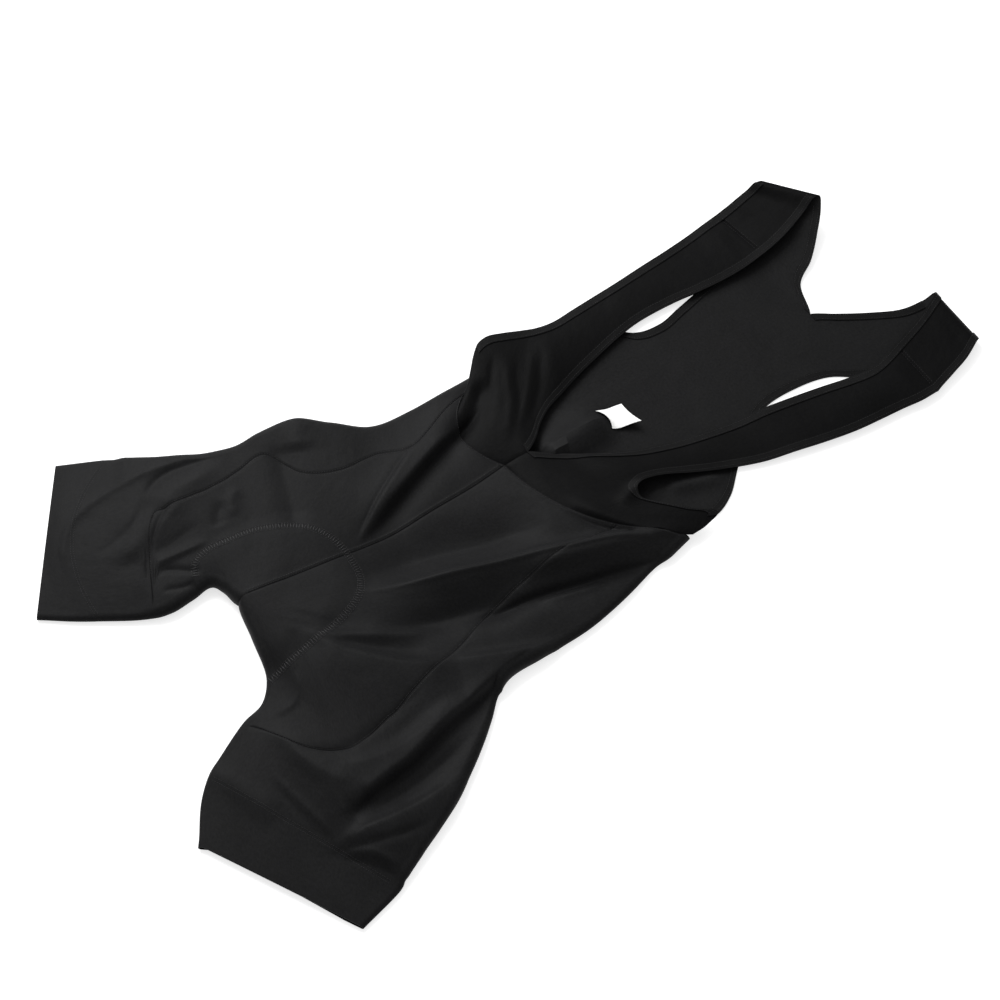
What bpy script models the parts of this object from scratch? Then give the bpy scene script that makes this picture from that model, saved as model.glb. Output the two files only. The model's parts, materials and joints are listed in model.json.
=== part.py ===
"""Cycling bib shorts, lying on their back with the front up.

Frame: metres, +Z up, +X to the wearer's left, +Y from the legs to the shoulders. The origin is on the
surface, under the middle of the garment's bounding box. The tables are in millimetres from the crotch
point of the centre-front seam, and FRAME_SHIFT moves that point to its place in the frame.
"""

import math

import bmesh
import bpy
import numpy as np
from mathutils import Vector
from mathutils.bvhtree import BVHTree

# ---------------------------------------------------------------- driving dimensions, millimetres
MM = 0.001
CLOTH = 1.2  # wall of the knit
HEM_CLOTH = 1.0  # wall of a turned hem's upper ply
SEAM_GAP = 0.3  # between sewn pieces, and between plies
HEM_WIDTH = 9.0  # turned hems on the bib's edges
PAD_THICKNESS = 5.0
PAD_OUTLINE = dict(x=4.0, y=15.0, half_width=71.0, half_length=104.0, power=2.4)
PAD_FRONT_Y = 18.0  # where the pad meets the roll of the crotch
LABEL = dict(x=6.0, y=424.0, width=26.0, length=20.0, turn=-8.0, lift=6.0)
SEAM_TAIL = 15.0  # how far the rolled edge of a panel runs on underneath
LOWEST_TOP = 3.4  # least height of the upper layer's middle over the surface
FRAME_SHIFT = (-55.0, -304.7)

FLOOR_PLY = CLOTH / 2
ROW_STEP = 18.5  # between the rows of the shorts; both sides have the same rows down to the crotch
BAND_ROWS = 4
FRONT_COLUMNS, SIDE_COLUMNS, ROLL_STEPS, BACK_COLUMNS = 8, 6, 4, 3
STRAP_COLUMNS = 6
BIB_STEP = 27.0  # between the rows of the bib and straps
FOLD_FADE = 0.22  # share of a fold's route over which each end rises out of the cloth

# ---------------------------------------------------------------- tables
# One row for each section of the shorts, from the waist seam to the hem: how far along it is, its inner
# and outer end, its bow towards the waist, the share of it that the front panel takes, and the height
# of the upper layer at its inner end, middle and outer end.
SECTION_COLUMNS = "along in_x in_y out_x out_y bow seam in_h mid_h out_h".split()
LEFT_SECTIONS = [
    (0, 0, 294, 156, 405, -23, 0.69, 14, 20, 10),
    (42, 0, 255, 173, 345, -15, 0.64, 12, 18, 10),
    (85, 0, 210, 189, 280, -6, 0.63, 12, 18, 10),
    (135, 0, 160, 194, 220, 2, 0.68, 12, 20, 12),
    (185, 0, 110, 200, 174, 8, 0.76, 14, 20, 14),
    (230, 0, 62, 228, 144, 12, 0.72, 17, 23, 14),
    (265, 0, 25, 256, 108, 12, 0.69, 19, 24, 14),
    (290, 0, 0, 278, 77, 10, 0.67, 18, 24, 12),
    (312, 40, -7, 294, 48, 6, 0.60, 16, 24, 12),
    (334, 80, -14, 306, 24, 3, 0.49, 13, 23, 12),
    (352, 101, -30, 315, 7, 0, 0.32, 12, 24, 11),
    (372, 110, -56, 320, -3, 0, 0.0, 10, 20, 10),
    (400, 142, -108, 326, -12, 0, 0.0, 7, 12, 7),
    (445, 197, -148, 340, -59, 0, 0.0, 5, 6, 5),
]
RIGHT_SECTIONS = [
    (0, 0, 294, -108, 318, -30, 0.90, 14, 16, 12),
    (42, 0, 255, -106, 290, -10, 0.85, 12, 16, 14),
    (85, 0, 210, -104, 248, -4, 0.66, 12, 18, 14),
    (135, 0, 160, -107, 205, 2, 0.76, 12, 20, 16),
    (185, 0, 110, -130, 172, 6, 0.65, 14, 22, 22),
    (230, 0, 62, -152, 140, 8, 0.67, 17, 24, 22),
    (265, 0, 25, -156, 105, 8, 0.88, 19, 24, 20),
    (290, 0, 0, -155, 78, 8, 0.86, 18, 23, 18),
    (312, -20, -6, -163, 52, 5, 0.76, 16, 23, 17),
    (334, -32, -14, -174, 30, 0, 0.66, 13, 23, 14),
    (356, -29, -36, -187, 6, 0, 0.61, 12, 24, 12),
    (374, -28, -58, -198, -12, 0, 0.50, 10, 21, 10),
    (386, -32, -74, -203, -21, -8, 0.0, 9, 18, 9),
    (392, -36, -84, -205, -26, -14, 0.0, 8, 16, 8),
    (410, -58, -123, -211, -37, -26, 0.0, 7, 12, 7),
    (450, -89, -170, -230, -80, 0, 0.0, 5, 6, 5),
]
BAND_STARTS = dict(left=400, right=410)
CROTCH = 290  # where the centre seam ends, along the sections
CENTRE_SEAM = [(0, 0), (42, 4), (85, 7), (135, 10), (185, 9), (230, 6), (265, 3), (290, 0)]  # along, x of it
# Where the centre-back seam passes under each section.
BACK_SEAM = [(0, 418), (85, 300), (185, 150), (290, 23)]

# One row for each section of a bib front, from the waist seam to the shoulder seam.
BIB_COLUMNS = "along in_x in_y out_x out_y bow in_h mid_h out_h".split()
LEFT_BIB = [
    (0, 0, 294, 156, 405, -23, 14, 20, 10),
    (12, 0, 302, 150, 441, -28, 16, 22, 10),
    (24, 0, 310, 135, 425, -22, 17, 22, 16),
    (36, 0, 319, 119, 406, -16, 18, 21, 19),
    (52, 8, 333, 102, 389, -10, 15, 19, 20),
    (68, 17, 348, 90, 389, -5, 13, 18, 20),
    (86, 27, 365, 84, 399, 0, 12, 17, 20),
    (104, 38, 386, 84, 411, 0, 11, 15, 18),
    (124, 48, 411, 88, 425, 0, 9, 12, 14),
    (150, 57, 446, 98, 450, 0, 8, 10, 9),
    (180, 63, 475, 109, 478, 0, 7, 9, 7),
    (215, 69, 515, 122, 516, 0, 7, 8, 6),
    (248, 72, 547, 129, 549, 0, 7, 8, 6),
    (280, 76, 579, 135, 580, 0, 7, 8, 6),
    (313, 81, 611, 140, 613, 0, 7, 9, 6),
    (345, 87, 642, 142, 645, 0, 8, 10, 6),
    (365, 89, 661, 143, 668, 0, 8, 10, 6),
    (385, 86, 680, 145, 689, 0, 8, 10, 7),
    (405, 78, 703, 144, 709, 0, 9, 10, 7),
]
RIGHT_BIB = [
    (0, 0, 294, -108, 318, -30, 14, 16, 12),
    (14, 0, 307, -119, 328, -16, 16, 26, 20),
    (28, 0, 319, -130, 339, -4, 18, 28, 24),
    (45, -11, 335, -134, 353, 0, 16, 27, 24),
    (62, -24, 348, -131, 368, 0, 14, 24, 21),
    (82, -37, 366, -126, 387, 0, 13, 20, 15),
    (102, -46, 387, -122, 403, 0, 12, 17, 11),
    (125, -55, 410, -121, 422, 0, 11, 14, 8),
    (155, -65, 441, -124, 448, 0, 10, 11, 7),
    (183, -73, 469, -127, 474, 0, 9, 9, 6),
    (207, -78, 493, -129, 496, 0, 9, 9, 6),
    (250, -78, 539, -134, 538, 0, 9, 9, 6),
    (280, -76, 568, -137, 566, 0, 9, 9, 6),
    (310, -75, 599, -141, 596, 0, 10, 10, 7),
    (340, -76, 630, -144, 622, 0, 13, 13, 10),
    (355, -78, 649, -145, 636, 0, 16, 16, 13),
]
# One row for each section of the bib back, from the back waist seam up over the shoulder fold to the
# shoulder seam in front. The last two columns are the heights of its two edges.
BIB_BACK_COLUMNS = "along in_x in_y out_x out_y in_h out_h".split()
LEFT_BACK = [
    (0, 0, 418, 141, 409, 0, 0),
    (24, 0, 442, 147, 442, 0, 0),
    (48, 0, 466, 136, 468, 0, 0),
    (72, 0, 490, 114, 491, 0, 0),
    (98, 0, 516, 89, 518, 0, 0),
    (128, 0, 546, 71, 547, 0, 0),
    (172, 0, 590, 66, 594, 0, 0),
    (206, 0, 624, 72, 628, 0, 0),
    (236, 0, 654, 88, 655, 0, 0),
    (256, 13, 676, 97, 676, 0, 0),
    (284, 29, 705, 105, 705, 0, 0),
    (314, 43, 737, 110, 737, 0, 0),
    (340, 45, 764, 112, 764, 1, 1),
    (353, 45, 774, 114, 779, 5, 5),
    (362, 49, 772, 117, 775, 10, 9),
    (378, 57, 758, 127, 757, 11, 9),
    (400, 66, 738, 135, 735, 10, 8),
    (422, 73, 718, 141, 717, 9, 7),
    (438, 78, 703, 144, 709, 9, 7),
]
RIGHT_BACK = [
    (0, 0, 418, -93, 322, 0, 0),
    (24, 0, 442, -108, 420, 0, 0),
    (48, 0, 466, -96, 462, 0, 0),
    (72, 0, 490, -73, 488, 0, 0),
    (98, 0, 516, -68, 515, 0, 0),
    (128, 0, 546, -69, 545, 0, 0),
    (172, 0, 590, -77, 590, 0, 0),
    (206, 0, 624, -88, 618, 0, 0),
    (236, 0, 654, -99, 634, 0, 0),
    (256, -32, 664, -108, 645, 1, 1),
    (284, -52, 690, -121, 659, 6, 4),
    (314, -73, 711, -134, 676, 14, 12),
    (336, -90, 726, -143, 689, 26, 22),
    (346, -98, 730, -147, 692, 34, 29),
    (356, -99, 723, -149, 684, 36, 30),
    (372, -93, 708, -148, 673, 30, 25),
    (392, -86, 686, -147, 658, 23, 19),
    (412, -81, 667, -146, 646, 19, 15),
    (430, -78, 649, -145, 636, 16, 13),
]
BACK_WAIST_Y = 418  # the back waist seam at the centre
BACK_NECK = 236  # the bib back is one piece below this, and two straps above
BACK_ARMHOLE = 24  # where its armholes start
FOLD_TOP = 356  # past the shoulder fold
V_POINT = dict(left=36, right=28)  # where the bib's centre seam ends in the V of the neck
ARMHOLE_START = dict(left=12, right=28)

# One row for each large fold of the upper layer: a positive rise is a ridge and a negative one a trough,
# width is its half-width, and the route gives its course from end to end.
FOLDS = [
    # wearer's left, from the waist down
    dict(rise=9, width=16,
         route=[(14, 302), (41, 309), (65, 322), (91, 340), (117, 359), (142, 388)]),
    dict(rise=19, width=22,
         route=[(54, 105), (64, 145), (76, 190), (90, 240), (108, 285), (127, 335), (143, 380)]),
    dict(rise=-12, width=19,
         route=[(80, 88), (89, 133), (95, 169), (107, 202), (114, 232)]),
    dict(rise=-12, width=19,
         route=[(128, 221), (132, 256), (138, 297), (147, 328), (157, 355), (165, 387)]),
    dict(rise=7, width=16,
         route=[(148, 205), (157, 254), (164, 286), (169, 320)]),
    dict(rise=10, width=18,
         route=[(190, 244), (178, 226), (168, 203), (161, 174), (150, 150)]),
    dict(rise=-17, width=20,
         route=[(183, 216), (192, 172), (204, 130), (218, 84), (226, 40), (234, -12)]),
    dict(rise=11, width=20,
         route=[(157, 130), (142, 100), (119, 72), (94, 45)]),
    dict(rise=-9, width=16,
         route=[(156, 125), (171, 92), (181, 45), (180, 5), (162, -20)]),
    dict(rise=10, width=18,
         route=[(264, 72), (260, 30), (256, -15), (252, -40)]),
    dict(rise=-9, width=16,
         route=[(285, 34), (279, 5), (273, -20), (267, -46)]),
    dict(rise=-7, width=16,
         route=[(106, 14), (128, 9), (150, 2)]),
    # wearer's right, from the bib down
    dict(rise=-9, width=17,
         route=[(-20, 290), (-48, 284), (-78, 300), (-104, 322)]),
    dict(rise=8, width=16,
         route=[(-8, 306), (-44, 330), (-78, 348), (-112, 362)]),
    dict(rise=6, width=16,
         route=[(-20, 334), (-60, 362), (-98, 384)]),
    dict(rise=16, width=20,
         route=[(-6, 138), (-27, 182), (-47, 217), (-62, 251), (-76, 286), (-88, 312)]),
    dict(rise=-10, width=18,
         route=[(-8, 152), (-21, 183), (-35, 213), (-49, 246), (-61, 272), (-73, 298)]),
    dict(rise=9, width=26,
         route=[(-136, 142), (-124, 130), (-108, 122)]),
    dict(rise=-9, width=17,
         route=[(-139, 84), (-136, 100), (-118, 109), (-96, 104), (-62, 88)]),
    dict(rise=10, width=17,
         route=[(-172, 14), (-176, -22), (-178, -51), (-171, -80)]),
    dict(rise=10, width=17,
         route=[(-142, 42), (-150, 12), (-142, -20), (-125, -39), (-115, -66)]),
    dict(rise=-11, width=17,
         route=[(-164, 10), (-161, -30), (-152, -66)]),
    dict(rise=-10, width=16,
         route=[(-100, -34), (-97, -56), (-98, -84)]),
    dict(rise=7, width=16,
         route=[(-72, 6), (-73, -30), (-74, -60)]),
]
TENT = dict(rise=18, width=16, route=[(-8, 395), (-4, 372), (0, 350)])

MATERIALS = {  # base colour, roughness
    "knit": ((0.011, 0.011, 0.012), 0.6),
    "hem": ((0.013, 0.013, 0.014), 0.55),
    "band": ((0.010, 0.010, 0.011), 0.65),
    "pad": ((0.014, 0.014, 0.015), 0.7),
    "label": ((0.85, 0.85, 0.84), 0.6),
}


# ---------------------------------------------------------------- curves and surfaces
def columns_of(names, rows):
    return dict(zip(names, np.array(rows, float).T))


def smooth(x, xs, ys):
    """A cubic through the table's rows, with the slope at each row taken from its neighbours."""
    xs, ys = np.asarray(xs, float), np.asarray(ys, float)
    slope = np.gradient(ys, xs)
    i = np.clip(np.searchsorted(xs, x) - 1, 0, len(xs) - 2)
    step = xs[i + 1] - xs[i]
    t = (x - xs[i]) / step
    return (
        (2 * t**3 - 3 * t**2 + 1) * ys[i]
        + (t**3 - 2 * t**2 + t) * step * slope[i]
        + (3 * t**2 - 2 * t**3) * ys[i + 1]
        + (t**3 - t**2) * step * slope[i + 1]
    )


def read_table(table, along):
    return {name: smooth(along, table["along"], table[name]) for name in table if name != "along"}


def ease(t):
    t = np.clip(t, 0, 1)
    return t * t * (3 - 2 * t)


def fold_height(x, y, fold):
    """Rise of one fold at (x, y): a bell across its route, fading out at both ends."""
    route = np.array(fold["route"], float)
    pick = np.linspace(0, len(route) - 1, 8 * len(route))
    path = np.stack([smooth(pick, np.arange(len(route)), route[:, k]) for k in (0, 1)], axis=1)
    nearest = np.full(np.shape(x), np.inf)
    place = np.zeros(np.shape(x))
    for k in range(len(path) - 1):
        start, run = path[k], path[k + 1] - path[k]
        t = np.clip(((x - start[0]) * run[0] + (y - start[1]) * run[1]) / (run @ run), 0, 1)
        away = np.hypot(x - start[0] - t * run[0], y - start[1] - t * run[1])
        closer = away < nearest
        nearest = np.where(closer, away, nearest)
        place = np.where(closer, (k + t) / (len(path) - 1), place)
    fade = ease(place / FOLD_FADE + 0.15) * ease((1 - place) / FOLD_FADE + 0.15)
    return fold["rise"] * fade * np.exp(-((nearest / fold["width"]) ** 2))


def pad_share(x, y):
    """1 in the middle of the seat pad, falling to 0 just outside its outline."""
    o = PAD_OUTLINE
    reach = (np.abs((x - o["x"]) / o["half_width"]) ** o["power"]
             + np.abs((y - o["y"]) / o["half_length"]) ** o["power"])
    return ease((1.1 - reach) / 0.25)


def top_height(x, y, base):
    """Height of the upper layer: its section's height with the folds and the pad under it."""
    z = base + sum(fold_height(x, y, fold) for fold in FOLDS) + 4.0 * pad_share(x, y)
    over = z - LOWEST_TOP
    z = LOWEST_TOP + (over + np.sqrt(over**2 + 6.0)) / 2
    return np.maximum(z, back_height(x, y) + CLOTH + 1.5)


def back_height(x, y):
    return FLOOR_PLY + fold_height(x, y, TENT)


def crown(share, low, middle, high):
    """A parabola through the heights at the start, middle and end of a section."""
    return (low * (1 - share) * (1 - 2 * share) + middle * 4 * share * (1 - share)
            + high * share * (2 * share - 1))


def section(row, share, start=None, end=None):
    """Points of one section in plan: straight from start to end, with its bow."""
    start = np.array([row["in_x"], row["in_y"]]) if start is None else start
    end = np.array([row["out_x"], row["out_y"]]) if end is None else end
    run = end - start
    to_waist = np.array([-run[1], run[0]]) / np.hypot(*run) * (1 if end[0] > start[0] else -1)
    share = np.asarray(share)[:, None]
    return start + share * run + row["bow"] * 4 * share * (1 - share) * to_waist


def fit_roll(start, outward, top, reach):
    """The roll that begins at start, where the upper layer ends at the height top."""
    middle, half = (top + FLOOR_PLY) / 2, (top - FLOOR_PLY) / 2
    points = []
    for angle in np.linspace(0, math.pi, ROLL_STEPS + 1):
        points.append((*(start + outward * reach * math.sin(angle)), middle + half * math.cos(angle)))
    points.append((*(start - outward * SEAM_TAIL), FLOOR_PLY))
    return np.array(points)


def roll_reach(top):
    return min(0.7 * top, 9.0)


# ---------------------------------------------------------------- solids
class Cloth:
    """All panels in one set of points, so that neighbours share their seam points and their normals."""

    def __init__(self):
        self.points, self.index, self.panels = [], {}, {}

    def point(self, spot):
        key = tuple(np.round(spot, 2))
        if key not in self.index:
            self.index[key] = len(self.points)
            self.points.append(np.array(spot, float))
        return self.index[key]

    def grid(self, panel, points, flip=False):
        """Adds a grid of points (rows, columns, 3) to a panel, and returns the points' indices."""
        ids = np.array([[self.point(spot) for spot in row] for row in points])
        faces = self.panels.setdefault(panel, [])
        for i in range(len(ids) - 1):
            for j in range(len(ids[0]) - 1):
                corners = [ids[i, j], ids[i + 1, j], ids[i + 1, j + 1], ids[i, j + 1]]
                corners = [c for k, c in enumerate(corners) if c != corners[k - 1]]
                if len(set(corners)) > 2:
                    faces.append(tuple(corners[::-1] if flip else corners))
        return ids

    def normals(self):
        points = np.array(self.points)
        total = np.zeros_like(points)
        for faces in self.panels.values():
            for face in faces:
                a, c = points[face[0]], points[face[2]]
                b, d = points[face[1]], points[face[-1]]
                total[list(face)] += np.cross(c - a, d - b)
        return total / np.linalg.norm(total, axis=1)[:, None]


def closed_wall(name, points, normals, faces, wall, lift=0.0, material="knit"):
    """A closed solid of cloth on the given faces, drawn in from its seams by half a gap."""
    used = sorted({c for face in faces for c in face})
    place = {old: new for new, old in enumerate(used)}
    middle, normal = np.array(points)[used], np.array(normals)[used]
    faces = [tuple(place[c] for c in face) for face in faces]
    sides = {(face[k - 1], face[k]) for face in faces for k in range(len(face))}
    rim = [edge for edge in sides if edge[::-1] not in sides]
    inward = np.zeros_like(middle)
    for a, b in rim:
        along = middle[b] - middle[a]
        across = np.cross(normal[a] + normal[b], along)
        across /= np.linalg.norm(across)
        inward[a] += across
        inward[b] += across
    size = np.linalg.norm(inward, axis=1)
    on_rim = size > 0
    pull = SEAM_GAP / 2 * np.minimum(2 / np.maximum(size[on_rim], 0.5), 2.0) / size[on_rim]
    middle[on_rim] += inward[on_rim] * pull[:, None]
    outer = middle + normal * (lift + wall / 2)
    inner = middle + normal * (lift - wall / 2)
    solid = np.concatenate([outer, inner]) + np.array([*FRAME_SHIFT, 0.0])
    solid[:, 2] = np.maximum(solid[:, 2], 0.0)
    mesh_points = solid * MM
    count = len(middle)
    mesh_faces = faces + [tuple(c + count for c in face[::-1]) for face in faces]
    mesh_faces += [(b, a, a + count, b + count) for a, b in rim]
    return finish(name, mesh_points, mesh_faces, material)


def finish(name, points, faces, material):
    mesh = bpy.data.meshes.new(name)
    mesh.from_pydata([Vector(p) for p in points], [], faces)
    shape = bmesh.new()
    shape.from_mesh(mesh)
    bmesh.ops.triangulate(shape, faces=shape.faces[:])
    shape.to_mesh(mesh)
    shape.free()
    mesh.shade_smooth()
    mesh.set_sharp_from_angle(angle=math.radians(50))
    piece = bpy.data.objects.new(name, mesh)
    bpy.context.scene.collection.objects.link(piece)
    mesh.materials.append(material_named(material))
    return piece


def material_named(name):
    if name in bpy.data.materials:
        return bpy.data.materials[name]
    colour, roughness = MATERIALS[name]
    material = bpy.data.materials.new(name)
    material.use_nodes = True
    shader = material.node_tree.nodes["Principled BSDF"]
    shader.inputs["Base Color"].default_value = (*colour, 1.0)
    shader.inputs["Roughness"].default_value = roughness
    shader.inputs["Metallic"].default_value = 0.0
    return material


# ---------------------------------------------------------------- the pieces
def edge_normals(points, first):
    """Outward normals of an inner-leg edge in plan, starting from a given one at the crotch."""
    run = np.gradient(points, axis=0)
    side = np.sign(points[-1, 0])
    normal = np.stack([run[:, 1], -run[:, 0]], axis=1) * side
    normal /= np.linalg.norm(normal, axis=1)[:, None]
    normal[0] = first
    return normal


def shorts(cloth, side, rows):
    """One side of the shorts: front panel, side panel, back panel and leg band."""
    table = columns_of(SECTION_COLUMNS, rows)
    flip = side == "right"
    band = BAND_STARTS[side]
    last = table["along"][-1]
    tip = table["along"][np.argmax(table["seam"] <= 0)]
    stops = sorted({0, CROTCH, tip, band, last})
    along = [0.0]
    for start, end in zip(stops[:-1], stops[1:]):
        count = max(2, round((end - start) / ROW_STEP))
        count = BAND_ROWS if start == band else count
        along += list(np.linspace(start, end, count + 1)[1:])
    along = np.array(along)
    column = read_table(table, along)
    seam_table = np.array(CENTRE_SEAM, float).T
    column["in_x"][along <= CROTCH] = smooth(along[along <= CROTCH], *seam_table)
    column["seam"] = np.where(along < tip, np.clip(column["seam"], 0.02, 1), 0.0)

    leg = along >= CROTCH
    inner_edge = np.stack([column["in_x"], column["in_y"]], axis=1)
    outer_edge = np.stack([column["out_x"], column["out_y"]], axis=1)
    leg_normals = edge_normals(inner_edge[leg], (0.0, -1.0))
    top, outer_roll, inner_roll = [], [], []
    for i in range(len(along)):
        row = {name: values[i] for name, values in column.items()}
        outward = outer_edge[i] - inner_edge[i]
        outward /= np.hypot(*outward)
        start, end = inner_edge[i].copy(), outer_edge[i] - outward * roll_reach(row["out_h"])
        if leg[i]:
            inner_out = leg_normals[i - np.argmax(leg)]
            start -= inner_out * roll_reach(row["in_h"])
        share = np.concatenate([
            np.linspace(0, row["seam"], FRONT_COLUMNS + 1),
            np.linspace(row["seam"], 1, SIDE_COLUMNS + 1)[1:],
        ])
        plan = section(row, share, start, end)
        z = top_height(plan[:, 0], plan[:, 1], crown(share, row["in_h"], row["mid_h"], row["out_h"]))
        top.append(np.column_stack([plan, z]))
        reach = roll_reach(row["out_h"])
        outer_roll.append(fit_roll(end, outward, z[-1], reach))
        if leg[i]:
            inner_roll.append(fit_roll(start, inner_out, z[0], roll_reach(row["in_h"])))
        else:
            inner_roll.append(None)
    top, outer_roll = np.array(top), np.array(outer_roll)
    crotch_row, tip_row, band_row = (int(np.argmin(abs(along - stop))) for stop in (CROTCH, tip, band))
    in_rolls = np.array(inner_roll[crotch_row:])

    front, side_name, back = f"front_{side}", f"side_{side}", f"back_{side}"
    cloth.grid(front, top[: tip_row + 1, : FRONT_COLUMNS + 1], flip)
    cloth.grid(front, in_rolls[: tip_row - crotch_row + 1], not flip)
    cloth.grid(side_name, top[: band_row + 1, FRONT_COLUMNS:], flip)
    cloth.grid(side_name, outer_roll[: band_row + 1], flip)
    cloth.grid(side_name, in_rolls[tip_row - crotch_row : band_row - crotch_row + 1], not flip)

    back_seam = np.array(BACK_SEAM, float)
    under = []
    for i in range(len(along)):
        if i < crotch_row:
            y = smooth(along[i], back_seam[:, 0], back_seam[:, 1])
            inner_end = np.array([0.0, y, 0.0])
        else:
            inner_end = in_rolls[i - crotch_row][-1]
        share = np.linspace(0, 1, BACK_COLUMNS + 1)[:, None]
        line = outer_roll[i][-1] + share * (inner_end - outer_roll[i][-1])
        line[:, 2] = back_height(line[:, 0], line[:, 1])
        under.append(line)
    under = np.array(under)
    cloth.grid(back, under[: band_row + 1], flip)

    name = f"hem_band_{side}"
    cloth.grid(name, top[band_row:, FRONT_COLUMNS:], flip)
    cloth.grid(name, outer_roll[band_row:], flip)
    cloth.grid(name, in_rolls[band_row - crotch_row :], not flip)
    cloth.grid(name, under[band_row:], flip)
    return top[0], under[0, 0]


def hem_shares(width, columns):
    """Shares across a bib section, with columns on the inner line of both hems."""
    hem = HEM_WIDTH / width
    middle = np.linspace(hem, 1 - hem, columns - 3)
    return np.concatenate([[0, hem / 2], middle, [1 - hem / 2, 1]])


def bib_front(cloth, side, rows, waist):
    """A bib front from the waist seam to the shoulder seam. Returns its points, row by row."""
    table = columns_of(BIB_COLUMNS, rows)
    last = table["along"][-1]
    along = np.linspace(0, last, round(last / BIB_STEP) + 1)
    starts = [0, V_POINT[side], ARMHOLE_START[side]]
    along = np.unique(np.concatenate([along[along > 44], [20, 44], starts]))
    column = read_table(table, along)
    column["in_x"][along <= V_POINT[side]] = 0.0
    waist_run = np.linalg.norm(np.diff(waist, axis=0), axis=1)
    waist_shares = np.concatenate([[0], np.cumsum(waist_run)]) / waist_run.sum()
    points = [waist]
    for i in range(1, len(along)):
        row = {name: values[i] for name, values in column.items()}
        width = math.hypot(row["out_x"] - row["in_x"], row["out_y"] - row["in_y"])
        part_way = ease(along[i] / ARMHOLE_START[side])
        share = waist_shares * (1 - part_way) + hem_shares(width, len(waist) - 1) * part_way
        plan = section(row, share)
        base = crown(share, row["in_h"], row["mid_h"], row["out_h"])
        points.append(np.column_stack([plan, top_height(plan[:, 0], plan[:, 1], base)]))
    points = np.array(points)
    ends = points[-1, [0, -1]]
    points[-1] = ends[0] + share[:, None] * (ends[1] - ends[0])
    cloth.grid(f"bib_front_{side}", points, flip=side == "left")
    return points, along


def bib_back(cloth, side, rows, back_waist_end, shoulder):
    """Half of the bib back with its strap, up over the shoulder to the shoulder seam in front."""
    table = columns_of(BIB_BACK_COLUMNS, rows)
    last = table["along"][-1]
    below = np.linspace(0, BACK_NECK, 11)
    above = np.linspace(BACK_NECK, 330, 7)[1:]
    along = np.concatenate([below, above, np.linspace(330, last, 10)[1:]])
    column = read_table(table, along)
    points = []
    for i in range(len(along)):
        start = np.array([column["in_x"][i], column["in_y"][i]])
        end = np.array([column["out_x"][i], column["out_y"][i]])
        if along[i] <= BACK_NECK:
            start = np.array([0.0, BACK_WAIST_Y + along[i]])
        if i == 0:
            end = back_waist_end[:2]
        share = hem_shares(math.hypot(*(end - start)), STRAP_COLUMNS)
        plan = start + share[:, None] * (end - start)
        lift = column["in_h"][i] * (1 - share) + column["out_h"][i] * share
        lift = np.maximum(lift, 0) + back_height(plan[:, 0], plan[:, 1])
        points.append(np.column_stack([plan, lift]))
    points = np.array(points)
    points[-1] = shoulder[0] + share[:, None] * (shoulder[-1] - shoulder[0])
    cloth.grid("bib_back", points, flip=side == "right")
    return points, along


def hem(cloth, normals, name, points, lift):
    """The upper ply of a turned hem: a strip of the panel's own points, moved out."""
    ids = np.array([[cloth.point(spot) for spot in row] for row in points])
    faces = []
    for i in range(len(ids) - 1):
        for j in range(len(ids[0]) - 1):
            faces.append((ids[i, j], ids[i + 1, j], ids[i + 1, j + 1], ids[i, j + 1]))
    a, b, c = (np.array(cloth.points[faces[0][k]]) for k in (0, 1, 2))
    if np.cross(b - a, c - a) @ normals[faces[0][0]] < 0:
        faces = [face[::-1] for face in faces]
    closed_wall(name, cloth.points, normals, faces, HEM_CLOTH, lift, "hem")


def cloth_height(trees, x, y):
    """Height of the highest of these pieces straight above (x, y)."""
    spot = Vector((x + FRAME_SHIFT[0], y + FRAME_SHIFT[1], 100)) * MM
    hits = [tree.ray_cast(spot, Vector((0, 0, -1)))[0] for tree in trees]
    return max((hit.z / MM for hit in hits if hit), default=1e6)


def seat_pad(fronts):
    """The pad under the front panels, following the inside of the cloth above it."""
    trees = []
    for piece in fronts:
        shape = bmesh.new()
        shape.from_mesh(piece.data)
        trees.append(BVHTree.FromBMesh(shape))
        shape.free()
    o = PAD_OUTLINE
    under = CLOTH + 3 * SEAM_GAP + PAD_THICKNESS / 2
    points = []
    for y in np.linspace(PAD_FRONT_Y, o["y"] + 0.92 * o["half_length"], 8):
        reach = 1 - abs((y - o["y"]) / o["half_length"]) ** o["power"]
        half = (o["half_width"] - 5) * reach ** (1 / o["power"])
        for x in o["x"] + half * np.linspace(-1, 1, 9):
            around = [cloth_height(trees, x + dx, y + dy) for dx in (-9, 0, 9) for dy in (-9, 0, 9)]
            points.append((x, y, min(around) - under))
    ids = np.arange(len(points)).reshape(-1, 9)
    faces = [(ids[i, j], ids[i, j + 1], ids[i + 1, j + 1], ids[i + 1, j])
             for i in range(len(ids) - 1) for j in range(8)]
    closed_wall("seat_pad", points, [(0, 0, 1)] * len(points), faces, PAD_THICKNESS, 0, "pad")


def care_label():
    """A short tape sewn in at the back waist, one end curling up."""
    o = LABEL
    turn = math.radians(o["turn"])
    shares = np.linspace(-0.5, 0.5, 6)
    points = []
    for v in shares:
        for u in shares:
            x, y = u * o["width"], v * o["length"]
            spot = (o["x"] + x * math.cos(turn) - y * math.sin(turn),
                    o["y"] + x * math.sin(turn) + y * math.cos(turn))
            curl = o["lift"] * ease(0.5 + u) * (0.6 - 0.4 * v)
            points.append((*spot, back_height(*spot) + CLOTH + 3 * SEAM_GAP + curl))
    ids = np.arange(len(points)).reshape(6, 6)
    faces = [(ids[i, j], ids[i, j + 1], ids[i + 1, j + 1], ids[i + 1, j])
             for i in range(5) for j in range(5)]
    closed_wall("care_label", points, [(0, 0, 1)] * len(points), faces, 1.0, 0, "label")


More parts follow.
